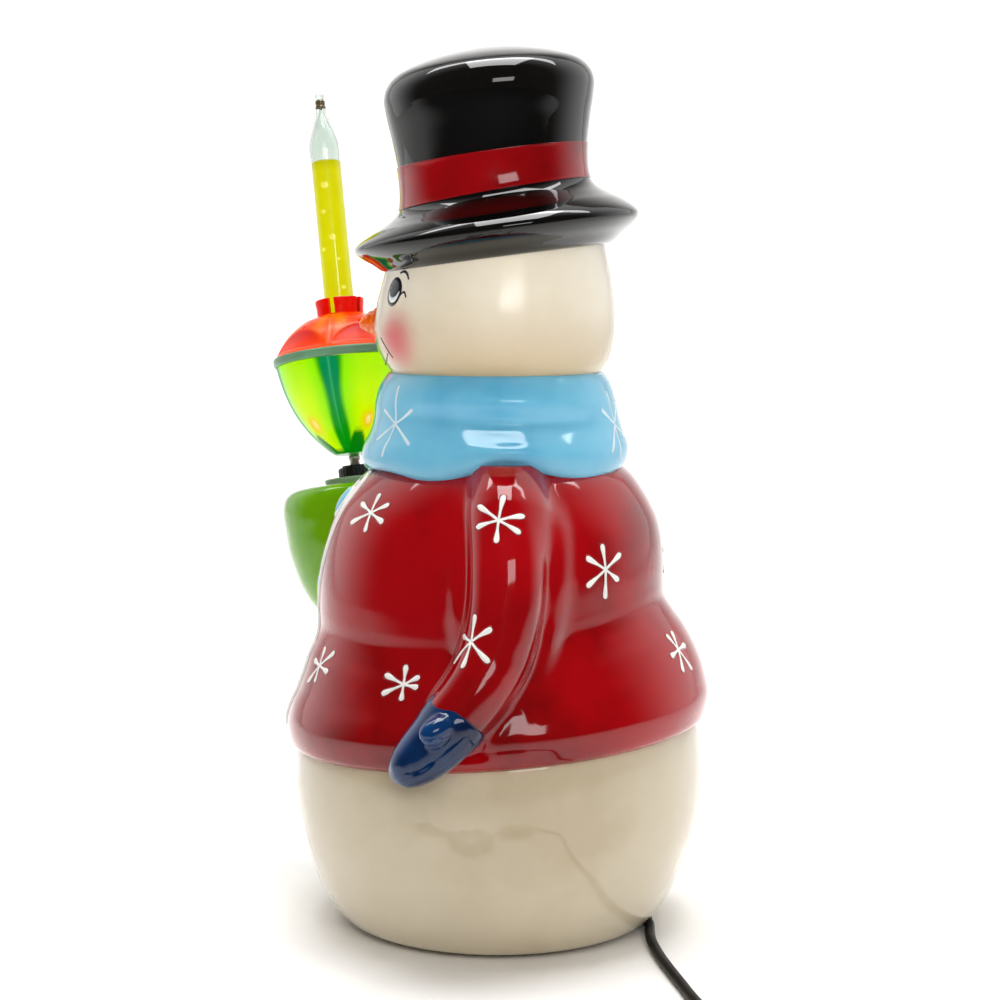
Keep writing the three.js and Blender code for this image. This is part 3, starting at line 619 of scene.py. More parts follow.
# ---------------------------------------------------------------- limbs as rows of balls
LEFT_SLEEVE = [
    (26, 5, 203), (35.5, 5, 193.5), (49, 6, 185), (62.5, 8, 174), (71, 9.4, 158), (75.3, 8.8, 140),
    (79.6, 5, 123), (84.5, -1.5, 111), (87.5, -8, 103),
]
SLEEVE_RADII = [8, 11.5, 14.2, 15, 14.8, 14.4, 13.8, 13.2, 12.6]
RIGHT_SLEEVE_RADII = [9, 12.5, 14.2, 14.4, 14.2, 13.8, 13.4, 12.6]


def limb(points, radii, per=4):
    """A smooth path through points, and a radius at each of its rows."""
    path = spline(points, per)
    size = np.interp(np.linspace(0, 1, len(path)), np.linspace(0, 1, len(radii)), radii)
    return path, size


def soft_min(a, b, blend):
    """The lesser of two distances, rounded over where they are about equal."""
    h = np.clip(0.5 + 0.5 * (b - a) / blend, 0, 1)
    return b * (1 - h) + a * h - blend * h * (1 - h)


def ball_chain(points, centres, radii):
    """Distance from points to a chain of balls joined by round cones, in mm."""
    best = np.full(points.shape[:-1], 1e9)
    for a, b, ra, rb in zip(centres[:-1], centres[1:], radii[:-1], radii[1:]):
        along = b - a
        t = np.clip(((points - a) @ along) / along.dot(along), 0, 1)
        reach = np.linalg.norm(points - a - t[..., None] * along, axis=-1) - (ra + (rb - ra) * t)
        best = np.minimum(best, reach)
    return best


def settled(offsets, down=10, around=4):
    """Rounds the steps that a slanting edge leaves in a grid of offsets."""
    for _ in range(down):
        offsets[1:-1] = (offsets[:-2] + 2 * offsets[1:-1] + offsets[2:]) / 4
    for _ in range(around):
        offsets = (np.roll(offsets, 1, axis=1) + 2 * offsets + np.roll(offsets, -1, axis=1)) / 4
    return offsets


def raise_relief(points, chains, reach=34.0, step=1.0):
    """Moves a skin outwards, level by level, onto the smooth union of the skin and the chains."""
    flat = points.reshape(-1, 3)
    radius = np.hypot(flat[:, 0], flat[:, 1])
    outward = np.stack([flat[:, 0] / radius, flat[:, 1] / radius, 0 * radius], axis=1)
    touched = np.zeros(len(flat), bool)
    for centres, radii, blend in chains:
        middle = centres.mean(axis=0)
        spread = np.linalg.norm(centres - middle, axis=1).max() + max(radii) + reach
        touched |= np.linalg.norm(flat - middle, axis=1) < spread
    start, way = flat[touched], outward[touched]
    offsets = np.arange(0, reach, step)
    values = []
    for offset in offsets:
        p = start + way * offset
        value = np.full(len(p), float(offset))
        for centres, radii, blend in chains:
            value = soft_min(value, ball_chain(p, centres, radii), blend)
        values.append(value)
    values = np.array(values)
    inside = values < 0
    last = len(offsets) - 1 - np.argmax(inside[::-1], axis=0)
    hit = inside.any(axis=0) & (last < len(offsets) - 1)
    index = np.arange(len(start))
    v0 = values[last, index]
    v1 = values[np.minimum(last + 1, len(offsets) - 1), index]
    moved = np.where(hit, offsets[last] + step * v0 / (v0 - v1 + 1e-12), 0)
    raised = np.zeros(len(flat))
    raised[touched] = moved
    raised = settled(raised.reshape(points.shape[:2])).ravel()
    return (flat + outward * raised[:, None]).reshape(points.shape)


# ---------------------------------------------------------------- ceramic body
FLOOR_SHARE = 0.8    # of the foot's radius: where the row that keeps the ball's floor flat lies


def make_lower_body():
    points = casting_points(BALL_ROWS, 90, 192, jacket_lean)
    floor = points[:1] * (FLOOR_SHARE, FLOOR_SHARE, 1)
    points = np.concatenate([floor, points])
    piece = grid("lower_body_glazed", points * MM)
    return finish_piece(piece, shaded_ball_glaze, replaces=("lower_body",))


def jacket_shape(theta, r, z):
    """The jacket swells a little above its hem on the left side, and in three soft lobes round the chest."""
    side = np.exp(-(apart_from(theta, 0) / 0.35) ** 2)
    r = r + 1.2 * side * np.exp(-((z - 96) / 14) ** 2)
    soft = 0.5 * np.sin(3 * theta + 0.7) * np.exp(-((z - 158) / 18) ** 2)
    return r + soft, z


FRONT_FOLD = [(52, -9, 184), (60, -9, 172), (67, -8.5, 156), (69.5, -8, 138), (71, -8, 126)]
SHOULDER = [(34, 11, 193.5), (47, 12, 185), (59, 13.5, 175), (64, 15, 165)]
BACK_FOLD = [
    (48, 22, 182), (58, 26, 170), (62.5, 26, 152), (64.5, 24, 134), (70, 19, 118), (77, 14, 104),
    (80, 10, 92),
]


# What stands out of the jacket's skin: points, radii and how softly they grow into it, all in mm.
JACKET_RELIEF = [
    (LEFT_SLEEVE, SLEEVE_RADII, 4.0), (SHOULDER, [8, 11.5, 12.5, 11], 3.0),
    (FRONT_FOLD, [3, 5, 5.5, 5, 3], 3.0), (BACK_FOLD, [3, 5, 6, 6, 7, 7, 4], 5.0),
]


def make_jacket():
    points = casting_points(JACKET_ROWS, 240, 560, jacket_lean, jacket_shape)
    points = raise_relief(points, [(*limb(line, radii), blend) for line, radii, blend in JACKET_RELIEF])
    piece = grid("jacket_glazed", points * MM)
    return finish_piece(piece, red_glaze, replaces=("jacket", "left_sleeve"))


SLEEVE_RISE = 0.12        # azimuth of the left sleeve's top, radians from +X
SCARF_GROOVE = 3.3        # depth of the fold pressed round the scarf, mm


def scarf_shape(theta, r, z):
    """A long fold pressed in at each side, and a lower edge that rises over the shoulders."""
    groove, wave = 0, 0
    for middle in (SLEEVE_RISE, math.pi - SLEEVE_RISE):
        apart = apart_from(theta, middle)
        reach = np.exp(-(apart / 0.85) ** 4)
        centre = 211 - 2.0 * np.sin(theta)
        groove = groove + SCARF_GROOVE * reach * np.exp(-((z - centre) / 5.2) ** 2)
        groove = groove - 1.1 * reach * np.exp(-((z - centre - 9) / 5) ** 2)
        groove = groove - 1.3 * reach * np.exp(-((z - centre + 11) / 6) ** 2)
        wave = wave + 3.4 * np.exp(-(apart / 0.3) ** 2) - 1.2 * np.exp(-((np.abs(apart) - 0.62) / 0.22) ** 2)
    wave = wave + 0.8 * np.sin(5 * theta)
    return r - groove, z + wave * (1 - ease(191, 205, z))


def make_scarf():
    points = casting_points(SCARF_ROWS, 110, 288, shape=scarf_shape)
    piece = grid("scarf_glazed", points * MM)
    return finish_piece(piece, blue_glaze, replaces=("scarf",))


def make_head():
    points = casting_points(HEAD_ROWS, 90, 240, head_lean)
    piece = grid("head_glazed", points * MM)
    return finish_piece(piece, head_glaze(), replaces=("head",))


CHEEKS = [(0.033, -0.0395, 0.2425), (-0.033, -0.0395, 0.2425)]
CHEEK_FADE = {"From_Min": 0.019, "From_Max": 0.0, "To_Max": 0.95}    # from the blush's edge to its middle
CHIN_SHADE_SPAN = {"From_Min": 0.266, "From_Max": 0.226}    # heights between which painted shade darkens the glaze towards the chin, metres


def head_glaze():
    """Cream glaze with painted shade that darkens and warms it towards the chin, and a sprayed blush round
    each cheek.
    """
    n = glaze("head_glaze", srgb(246, 239, 222), srgb(238, 229, 208), srgb(250, 246, 236), 0.1, coat=0.12)
    # painted shade: the cream is multiplied darker and warmer from the top of the face down to the chin
    thick = n.mapped(n.along("Z"), "SMOOTHSTEP", **CHIN_SHADE_SPAN)
    unshaded_tone = n.shader.inputs["Base Color"].links[0].from_socket
    tone = n.laid_over(unshaded_tone, srgb(208, 192, 164), thick, "MULTIPLY")
    for cheek in CHEEKS:
        near = n.new("ShaderNodeVectorMath")
        near.operation = "DISTANCE"
        n.wire(n.coordinate(), near.inputs[0])
        near.inputs[1].default_value = cheek
        fade = n.mapped(near.outputs["Value"], "SMOOTHERSTEP", **CHEEK_FADE)
        tone = n.laid_over(tone, srgb(214, 92, 96), fade)
    n.paint(tone)
    return n.material


# ---------------------------------------------------------------- hat
HAT_HEIGHT = 285.6    # of the brim above the table, mm; the hat's own heights are counted from here
HAT_TILT = [(-12, HEAD_SLOPE), (0, HEAD_SLOPE), (16, 0.175), (31, 0.137), (60, 0.1)]    # height, slope
HAT_LEAN = 0.055      # how far the hat leans forward for its height
HAT_PROFILE = [
    (40, -9.5), (40, -9.5), (44.4, -10.6), (44.4, -10.6), (46.6, -10), (51, -6.6), (55.4, -3.4),
    (57.6, -0.8), (57.8, 1), (56.4, 2.9), (51.5, 6.4), (46, 9.4), (41.5, 12.4), (39.2, 15.2), (38.3, 19),
    (38.2, 26), (38.8, 32), (40.4, 42), (42.3, 52), (42.8, 57.5), (41.6, 61.8), (38.2, 65.9), (32, 69),
    (22, 71.9), (10, 74), (0.01, 74.5),
]
BAND_LOW, BAND_HIGH = 15.6, 31.2
BAND_OUT, BAND_ROOT = 0.45, 0.6    # how far the band stands off the crown, and how far its edges reach in, mm


def place_hat(points):
    """Tips the hat forward: its brim and band slope, and its crown leans."""
    x, y, h = np.moveaxis(points, -1, 0)
    tilt = np.interp(h, [p[0] for p in HAT_TILT], [p[1] for p in HAT_TILT])
    return np.stack([x, y - HAT_FORWARD - HAT_LEAN * h, h + HAT_HEIGHT + tilt * y], axis=-1)


def make_hat():
    piece = grid("hat_glazed", place_hat(turned(HAT_PROFILE, 224, 8)) * MM)
    finish_piece(piece, black_glaze, replaces=("hat",))
    crown = spline(HAT_PROFILE, 8)
    heights = np.linspace(BAND_LOW, BAND_HIGH, 16)
    start = int(np.argmax(crown[:, 0]))
    radii = np.interp(heights, crown[start:, 1], crown[start:, 0])
    skin = [(radii[0] - BAND_ROOT, heights[0] + 0.1)]
    skin += [(r + BAND_OUT, h) for r, h in zip(radii, heights)]
    skin += [(radii[-1] - BAND_ROOT, heights[-1] - 0.1)]
    band = grid("hat_band_glazed", place_hat(turned(skin, 224, 3)) * MM)
    finish_piece(band, red_glaze, replaces=("hat_band",))


# ---------------------------------------------------------------- surface detail laid on a casting
class Skin:
    """A casting's surface, to lay raised slip on."""

    def __init__(self, piece):
        mesh = piece.data
        corners = [v.co for v in mesh.vertices]
        self.tree = BVHTree.FromPolygons(corners, [tuple(f.vertices) for f in mesh.polygons])

    def at(self, turn, height):
        """Point and outward normal at a bearing in degrees from +X towards +Y, and a height in mm."""
        out = Vector((math.cos(math.radians(turn)), math.sin(math.radians(turn)), 0))
        middle = Vector((0, 0, height * MM))
        spot, normal, _, _ = self.tree.ray_cast(middle + out * 0.2, -out)
        return spot, normal if normal.dot(out) > 0 else -normal

    def in_front(self, x, z):
        """Point and outward normal straight in front of a place on the chest, in mm."""
        spot, normal, _, _ = self.tree.ray_cast(Vector((x * MM, -0.2, z * MM)), Vector((0, 1, 0)))
        return spot, normal if normal.y < 0 else -normal

    def drop(self, point, normal):
        """Where a point falls on the surface along a normal, and how the surface faces there."""
        spot, found, _, _ = self.tree.ray_cast(point + normal * 0.02, -normal)
        if spot is None:
            spot, found, _, _ = self.tree.find_nearest(point)
        return spot, found if found.dot(normal) > 0 else -found


def tangents(normal):
    east = UP.cross(normal).normalized()
    return east, normal.cross(east)


ROOT_DEPTH = 0.3    # how far laid slip reaches into the surface, mm


def stroke_rings(skin, line, normals, halves, height, across=7):
    """Rows of points round a bead that follows a line on the surface; halves are half widths in mm."""
    rows = []
    count = len(line)
    for i, (point, normal, half) in enumerate(zip(line, normals, halves)):
        ahead = line[min(i + 1, count - 1)] - line[max(i - 1, 0)]
        side = normal.cross(ahead).normalized()
        over, under = [], []
        for u in np.linspace(-1, 1, across):
            spot, facing = skin.drop(point + side * (u * half * MM), normal)
            crown = height * math.sqrt(max(1 - abs(u) ** 2.6, 0)) * min(1, half / max(halves) * 2.5)
            over.append(spot + facing * (crown * MM))
            under.append(spot - facing * (ROOT_DEPTH * MM))
        rows.append(over + under[::-1])
    return np.array([[tuple(p) for p in row] for row in rows])


def stroke_line(skin, centre, normal, end, steps=13):
    """A straight stroke from a flake's centre; end is (east, up) in mm."""
    east, up = tangents(normal)
    line, normals = [], []
    for t in np.sin(np.linspace(0, math.pi / 2, steps)):
        spot, facing = skin.drop(centre + (east * end[0] + up * end[1]) * (t * MM), normal)
        line.append(spot)
        normals.append(facing)
    return line, normals


def club(steps, thin, thick, length):
    """Half widths of a stroke that swells to a round end."""
    t = np.sin(np.linspace(0, math.pi / 2, steps))
    half = thin + (thick - thin) * np.clip((t - 0.4) / 0.4, 0, 1)
    cap = thick / length
    return half * np.sqrt(np.clip(1 - ((t - (1 - cap)) / cap).clip(0, 1) ** 2, 0.02, 1))


def bead(name, rows_list):
    """Several beads in one piece."""
    verts, faces = [], []
    for rows in rows_list:
        faces += grid_faces(*rows.shape[:2], first=len(verts))
        verts += [tuple(p) for p in rows.reshape(-1, 3)]
    return link(name, verts, faces)


def patch(name, skin, centre, normal, half, height, shift=(0, 0), dome=0.5, sides=36, rings=6):
    """A raised oval laid on the surface. half and shift are (east, up) in mm; dome is how much of the height
    is crown rather than edge."""
    east, up = tangents(normal)
    verts, faces = [], []
    for level in (1, 0):
        for k in range(rings + 1):
            share = k / rings
            for j in range(sides if k else 1):
                a = 2 * math.pi * j / sides
                place = (shift[0] + share * half[0] * math.cos(a), shift[1] + share * half[1] * math.sin(a))
                spot, facing = skin.drop(centre + (east * place[0] + up * place[1]) * MM, normal)
                edge = math.sqrt(max(1 - share ** 6, 0))
                raised = height * edge * (1 - dome * share ** 2) if level else -ROOT_DEPTH
                verts.append(spot + facing * (raised * MM))
    half_count = len(verts) // 2
    for level in (0, 1):
        first = level * half_count
        for j in range(sides):
            n = (j + 1) % sides
            faces.append((first, first + 1 + j, first + 1 + n))
            for k in range(rings - 1):
                a, b = first + 1 + k * sides, first + 1 + (k + 1) * sides
                faces.append((a + j, b + j, b + n, a + n))
    a, b = 1 + (rings - 1) * sides, half_count + 1 + (rings - 1) * sides
    faces += [(a + j, b + j, b + (j + 1) % sides, a + (j + 1) % sides) for j in range(sides)]
    return link(name, verts, faces)


# Placket and buttons on the chest: places are (x, height) in mm.
PLACKET = [
    (15, 190), (21, 184), (24, 176), (23, 167), (20.5, 158), (17, 148), (14, 139), (13.5, 132), (15, 126),
    (17.5, 118), (18, 108), (16.5, 99.7), (14, 90), (13, 83),
]
BUTTONS = [(13.5, 177), (2, 139.5), (-3, 99)]
BUTTON_HALF = (6.3, 8.0)
BUTTON_RIM = 1.1


def make_placket(skin):
    curve = spline([(x, z, 0) for x, z in PLACKET], 5)
    spots = [skin.in_front(x, z) for x, z, _ in curve]
    line, normals = [s for s, _ in spots], [n for _, n in spots]
    halves = 1.55 + 0.25 * np.sin(np.linspace(0, 19, len(line)))
    finish_piece(bead("placket_glazed", [stroke_rings(skin, line, normals, halves, 0.9)]), slip_white,
                 replaces=("front_trim",))
    for i, (x, z) in enumerate(BUTTONS):
        spot, normal = skin.in_front(x, z)
        rim = patch(f"button_rim_{i + 1}", skin, spot, normal, BUTTON_HALF, 0.8)
        finish_piece(rim, slip_white)
        inside = [half - BUTTON_RIM for half in BUTTON_HALF]
        face = patch(f"button_face_{i + 1}", skin, spot, normal, inside, 1.5, dome=0.6)
        finish_piece(face, blue_glaze, replaces=(f"front_button_{i + 1}",))


# Snowflakes brushed on in slip: bearing in degrees, height in mm, and each stroke's end as (east, up) in mm.
JACKET_FLAKES = [
    (-46, 175, [(-1, 9), (8, 5), (-10, 4), (9, -3), (-12, -5), (0, -8)]),
    (5, 176.5, [(0.5, 11), (-9.5, 7), (9, 3.5), (-9, -2), (8.5, -4), (0, -9)]),
    (42, 154.5, [(-0.5, 10), (9, 5.5), (-9, 5.5), (-9.5, -6), (-0.5, -11.5), (7, -5)]),
    (-1.7, 131.5, [(-1, 10.5), (7.5, 6.5), (-8, 2), (-9, -9), (0, -10.5), (9, -6)]),
    (-23, 111.5, [(-1, 8), (-9.5, 3.5), (6, 4), (6.5, -0.5), (-9, -4.5), (0.5, -6.5)]),
    (-61, 112, [(-2, 8), (8, 7.5), (-8, 1.5), (9, -1), (-8, -8), (0, -7)]),
    (69.5, 119, [(3, 8), (-3, 7.5), (9, 1), (-8, -1.5), (5, -9.5), (-4, -9)]),
]
# The same strokes again where the photo does not look: bearing, height, which flake to repeat.
FURTHER_FLAKES = [
    (-105, 166, 1), (-118, 128, 3), (-98, 108, 4), (-132, 103, 6), (-140, 170, 2), (98, 152, 0),
    (104, 102, 5), (124, 172, 3), (132, 126, 1), (152, 154, 4), (156, 108, 2), (186, 112, 6),
    (208, 124, 0), (212, 170, 5),
]
JACKET_FLAKES += [(turn, z, JACKET_FLAKES[which][2]) for turn, z, which in FURTHER_FLAKES]
SCARF_FLAKES = [
    (-49, 209.5, [(-1, 15.5), (-9.5, 5.5), (9.5, 6.5), (-11, -7), (13, -8), (-2, -14)]),
    (74, 208.5, [(-2, 14), (-10, 7), (8, 9), (-11, -11), (-3, -14), (10, -6)]),
    (-108, 208, [(0, 14), (-9, 6), (9, 7), (-10, -8), (9, -9), (1, -13)]),
    (134, 209, [(1, 14), (-10, 7), (9, 6), (-9, -9), (10, -7), (-2, -13)]),
    (196, 208, [(-2, 14), (-9, 6), (10, 8), (-10, -7), (9, -9), (0, -14)]),
]


def make_flakes(name, skin, flakes, thin, thick, height, material, outline=None):
    beads, edges = [], []
    for turn, z, strokes in flakes:
        centre, normal = skin.at(turn, z)
        for end in strokes:
            line, normals = stroke_line(skin, centre, normal, end)
            halves = club(len(line), thin, thick, math.hypot(*end))
            beads.append(stroke_rings(skin, line, normals, halves, height))
            if outline:
                # a darker band just wider than each stroke: painted shade round the edge of the raised slip
                reach = 1 + 0.35 / math.hypot(*end)
                line, normals = stroke_line(skin, centre, normal, (end[0] * reach, end[1] * reach))
                edges.append(stroke_rings(skin, line, normals, halves + 0.38, 0.1, 5))
    finish_piece(bead(name, beads), material)
    if outline:
        finish_piece(bead(name + "_edges", edges), outline)


# Painted face: bearings in degrees from straight ahead towards the left cheek, heights in mm.
EYE_TURN, EYE_HEIGHT = 36, 262
FACE_STROKES = {
    "brow": ([(38, 269.4), (41.5, 270), (44.5, 268.9), (46.2, 266.8)], 0.36, 0.62),
    "lash": ([(42, 260.6), (43.5, 261.8), (45, 261.7), (46.6, 259.8)], 0.4, 0.5),
    "dimple": ([(26, 243.5), (29, 240.9), (31.6, 238.2), (34, 235.6)], 0.42, 0.42),
}
MOUTH = [(0, 231.6), (11, 232), (22, 233.6), (31, 237.6)]
MOUTH_HALF = 0.55
# Layers of an eye: name, half size and shift as (east, up), height, material and slot.
EYE_LAYERS = [
    ("outline", (5.5, 6.0), (0, 0), 0.10, ink, "black_glaze"),
    ("white", (4.8, 5.3), (0, 0), 0.18, slip_white, "cream_glaze"),
    ("iris", (4.55, 4.6), (0, 0.6), 0.24, pale_slip, "blue_glaze"),
    ("pupil", (4.5, 4.3), (0, 1.1), 0.32, ink, "black_glaze"),
]


def face_line(skin, places, sign=1):
    curve = spline([(turn, z, 0) for turn, z in places], 5)
    spots = [skin.at(-90 + sign * turn, z) for turn, z, _ in curve]
    return [s for s, _ in spots], [n for _, n in spots]


def make_face(skin):
    beads = []
    for sign, side in ((1, "left"), (-1, "right")):
        for places, thin, thick in FACE_STROKES.values():
            line, normals = face_line(skin, places, sign)
            halves = thin + (thick - thin) * np.sin(np.linspace(0.25, math.pi - 0.2, len(line)))
            beads.append(stroke_rings(skin, line, normals, halves, 0.14, 5))
        centre, normal = skin.at(-90 + sign * EYE_TURN, EYE_HEIGHT)
        for part, half, shift, height, material, slot in EYE_LAYERS:
            name = f"{side}_eye_{part}"
            piece = patch(name, skin, centre, normal, half, height, shift, dome=0.2, sides=32, rings=4)
            finish_piece(piece, material)
    whole = [(-turn, z) for turn, z in MOUTH[:0:-1]] + MOUTH
    line, normals = face_line(skin, whole)
    halves = MOUTH_HALF * np.sqrt(np.clip(1 - np.linspace(-1, 1, len(line)) ** 4, 0.05, 1))
    beads.append(stroke_rings(skin, line, normals, halves, 0.14, 5))
    finish_piece(bead("painted_lines", beads), ink)


def make_nose():
    """A carrot: blunt root, faint growth rings and a slightly drooping tip."""
    profile = [
        (0.01, -5), (6.6, -4), (6.7, -1), (6.2, 1.5), (5.1, 4), (4.1, 6), (2.9, 8), (1.6, 9.4), (0.01, 10),
    ]

    def rings(angle, radius, height):
        return radius * (1 + 0.035 * np.sin(2.3 * height + 1.1 * np.sin(angle)) + 0.02 * np.sin(3 * angle))
    piece = revolve("carrot_nose", profile, 72, 8, shape=rings)
    for v in piece.data.vertices:
        v.co.y -= 0.0012 * (max(v.co.z, 0) / 0.011) ** 2
    place = Matrix.Translation((0, -0.0478, 0.2495)) @ Matrix.Rotation(math.pi / 2, 4, "X")
    piece.data.transform(place)
    return finish_piece(piece, orange_glaze, replaces=("nose",))


# ---------------------------------------------------------------- hands and the right arm
LEFT_MITTEN = [
    (87.6, -6.6, 103.8), (89, -11, 98.6), (90.2, -16.4, 92.6), (91, -22.4, 87), (91.2, -28, 82.6),
    (91, -32.6, 79.6),
]
LEFT_MITTEN_RADII = [13.4, 13.8, 13.2, 12.4, 11.6, 10.6, 9.2, 7, 3]
RIGHT_SLEEVE = [
    (-46, 4, 182), (-64, 4, 175), (-80, -4, 158), (-90, -18, 145), (-94, -34, 138), (-94, -44, 136),
]
RIGHT_MITTEN = [(-94, -40.5, 136.6), (-95, -52, 137), (-93, -68, 138.5), (-86, -84, 141)]
RIGHT_MITTEN_RADII = [12.4, 13.6, 13.4, 12.8, 12.2, 11.4, 9.4, 5]


def mitten(name, points, radii, thumb_points, thumb_radii, node):
    hand, size = limb(points, radii, 8)
    palm = sweep(name + "_palm", hand, size, 40, 0.9)
    digit, digit_size = limb(thumb_points, thumb_radii, 6)
    thumb = sweep(name + "_thumb", digit, digit_size, 28)
    return finish_piece(fused(name, [palm, thumb]), navy_glaze, replaces=(node,))


def make_hands():
    mitten("left_mitten_glazed", LEFT_MITTEN, LEFT_MITTEN_RADII,
           [(94, -9, 103.4), (99.4, -12.4, 101.4), (101.6, -16.6, 98.8), (100.6, -18.8, 97.4)],
           [3.6, 4.8, 5, 3.8], "left_mitten")
    mitten("right_mitten_glazed", RIGHT_MITTEN, RIGHT_MITTEN_RADII,
           [(-94, -50, 147), (-89, -60, 152), (-82, -70, 155), (-75, -78, 156)],
           [5, 6, 5.8, 3.6], "right_mitten")
    arm, size = limb(RIGHT_SLEEVE, RIGHT_SLEEVE_RADII, 10)
    crease = 1 + 0.03 * np.sin(np.linspace(0, 17, len(size)))
    sleeve = sweep("right_sleeve_limb", arm, size * crease, 44)
    whole = fused("right_sleeve_glazed", [sleeve], 1.0)
    finish_piece(whole, red_glaze, replaces=("right_sleeve",))


# ---------------------------------------------------------------- the light, in its own frame
LIGHT_JOINT = next(j for j in frame["joints"] if j["name"] == "collar_turn")
LIGHT_PLACE = upright_at(Vector(LIGHT_JOINT["pos_m"]), Vector(LIGHT_JOINT["axis"]))
RIBS = 5
MERLONS = 5
VENT_HEIGHT = 24    # of the cup's small vents, mm up the light's axis
RIB_TURN = math.radians(-5)
MERLON_TURN = math.radians(25)
HALF_PANEL = 36     # degrees from a rib to the middle of the panel beside it
HOLDER = [
    (13, -4.6), (22, -4), (27, -3.7), (30.2, -4.6), (32.6, -7), (34, -11.5), (34.2, -17), (33.8, -22),
    (33.2, -30), (31.6, -37.5), (29.2, -46), (24, -56), (15, -65), (7, -69), (0.01, -70), (0.01, -63),
    (12, -59.5), (20, -51), (25.5, -42), (28.6, -30), (29.4, -14), (26, -9), (13, -8.8),
]
DISC = [
    (6.3, -4.3), (6.3, -4.3), (12.6, -4.3), (13, -4), (14.3, -0.9), (14.35, -0.4), (14, 0), (14, 0),
    (6.3, 0), (6.3, 0),
]
NUT = [(6.3, 0.3), (7.2, 0.3), (7.7, 0.8), (7.75, 2.4), (7.7, 4), (7.2, 4.7), (6.8, 4.8), (6.3, 4.8)]
STEM = [
    (0.01, -21), (1.6, -21), (2.2, -20.2), (2.2, 8), (2.2, 8), (2.55, 8.4), (2.6, 9.6), (2.2, 10.2),
    (2.2, 14), (0.01, 14),
]
CUP = [
    (7.3, 10.9), (8.4, 11), (14.1, 15.9), (20.3, 23.4), (24.6, 30.6), (27.6, 37.8), (29.7, 45),
    (31.2, 52.2), (31.2, 52.2), (29.6, 52.2), (29.6, 52.2), (27.9, 45), (22.8, 31.4), (18.6, 24.4),
    (12.8, 17.6), (7, 12.8), (2.5, 12.6), (2.5, 12.6), (2.5, 10.9), (2.5, 10.9),
]
RIM = [
    (29.5, 52.5), (31.4, 52.5), (31.9, 52.9), (32.1, 54.2), (32.2, 55.6), (31.9, 56.2), (31.2, 56.2),
    (30.6, 55.8), (29.5, 55.8),
]
DOME = [
    (29.9, 56.3), (29.9, 56.3), (30.2, 57.2), (29.4, 58.8), (27.6, 61.6), (24.8, 65.2), (21.2, 68.6),
    (16.6, 71.6), (12.2, 73.2), (10.5, 73.7), (10.5, 73.7), (10.6, 77), (11, 80.6), (10.7, 81.1), (10.7, 81.1),
    (8.9, 81.1), (8.9, 81.1), (8.7, 77), (8.5, 73), (8, 72.4), (16, 69.8), (22.6, 64.6), (26.4, 59.6),
    (28.2, 56.3), (28.2, 56.3),
]
VIAL = [
    (5.6, 56.5), (6.65, 56.5), (6.65, 56.5), (6.65, 100), (6.65, 143), (6.75, 146), (7.0, 149),
    (6.8, 152.4), (6.1, 155.5), (4.8, 159.4), (3.5, 163.2), (2.5, 167), (2.05, 170), (1.9, 173),
    (0.01, 173.1), (0.01, 171), (0.6, 168), (2.4, 163), (4.4, 158), (5.7, 153.5), (6, 150), (5.75, 146),
    (5.6, 143), (5.6, 100),
]
LIQUID = [
    (0.01, 56.6), (5.6, 56.6), (5.66, 57.5), (5.66, 100), (5.66, 144), (5.6, 144.5), (5.1, 144), (4, 143.5),
    (0.01, 143.2),
]
NECK = [(1.7, 169.2), (2.35, 169.2), (2.3, 170.2), (1.95, 170.6), (2.2, 171.2), (2.15, 172.6), (1.7, 172.8)]
TIP = [(0.01, 172.9), (1.5, 173), (2.05, 174.2), (2.1, 175.3), (1.7, 176.4), (0.9, 177.1), (0.01, 177.3)]


def rib_apart(angle):
    """Degrees from the nearest rib."""
    step = 2 * math.pi / RIBS
    return np.degrees(np.abs((angle - RIB_TURN + step / 2) % step - step / 2))


def vent_apart(apart):
    """About how far a point of the cup is from its panel's vent, across the panel in mm."""
    return (HALF_PANEL - apart) * 0.36


def arch_from(apart, height):
    """0 in the middle of a panel's arched hollow and 1 at its edge."""
    return ((HALF_PANEL - apart) / 32) ** 2 + ((height - 57.5) / 9.5) ** 2


def cup_shape(angle, radius, height):
    """Five lobes with a raised seam between each two, and a small vent dented into each lobe."""
    outer = ease(6.5, 8, radius) * (1 - ease(51.4, 52.2, height))
    apart = rib_apart(angle)
    seam = 0.32 * np.exp(-(apart / 1.5) ** 2) + 0.16 * np.exp(-(apart / 9) ** 2)
    lobe = 0.5 * np.cos(np.radians(apart) * RIBS)
    vent = np.exp(-(vent_apart(apart) / 1.5) ** 2 - ((height - VENT_HEIGHT) / 1.9) ** 2)
    return radius + outer * ease(11, 20, height) * (seam - lobe) - outer * 1.1 * vent


def dome_shape(angle, radius, height):
    """An arched hollow pressed into each of the five panels, with a seam between them."""
    apart = rib_apart(angle)
    hollow = np.clip(1 - arch_from(apart, height), 0, 1) ** 0.6 * ease(57.2, 58.6, height)
    seam = 0.3 * np.exp(-(apart / 1.6) ** 2) * (1 - ease(70, 73, height))
    skin = np.interp(height, [56.3, 59.6, 64.6, 69.8, 72.4], [28.6, 26.9, 23, 16.6, 9])
    outside = ease(-1.2, 0.2, radius - skin)
    return radius + outside * (seam - 1.7 * hollow) * (1 - ease(71, 73, height))


def tinted(piece, colours):
    """Stores a colour at every corner point, from its place in the light's frame."""
    count = len(piece.data.vertices)
    places = np.empty(count * 3)
    piece.data.vertices.foreach_get("co", places)
    x, y, z = places.reshape(-1, 3).T / MM
    values = np.ones((count, 4))
    values[:, :3] = colours(np.arctan2(y, x), np.hypot(x, y), z)
    layer = piece.data.color_attributes.new(name="glow", type="FLOAT_COLOR", domain="POINT")
    layer.data.foreach_set("color", values.ravel())
    return piece


def mixed(a, b, share):
    """Colours that go from a to b as share goes from 0 to 1."""
    share = np.asarray(share)[..., None]
    return np.asarray(a) * (1 - share) + np.asarray(b) * share


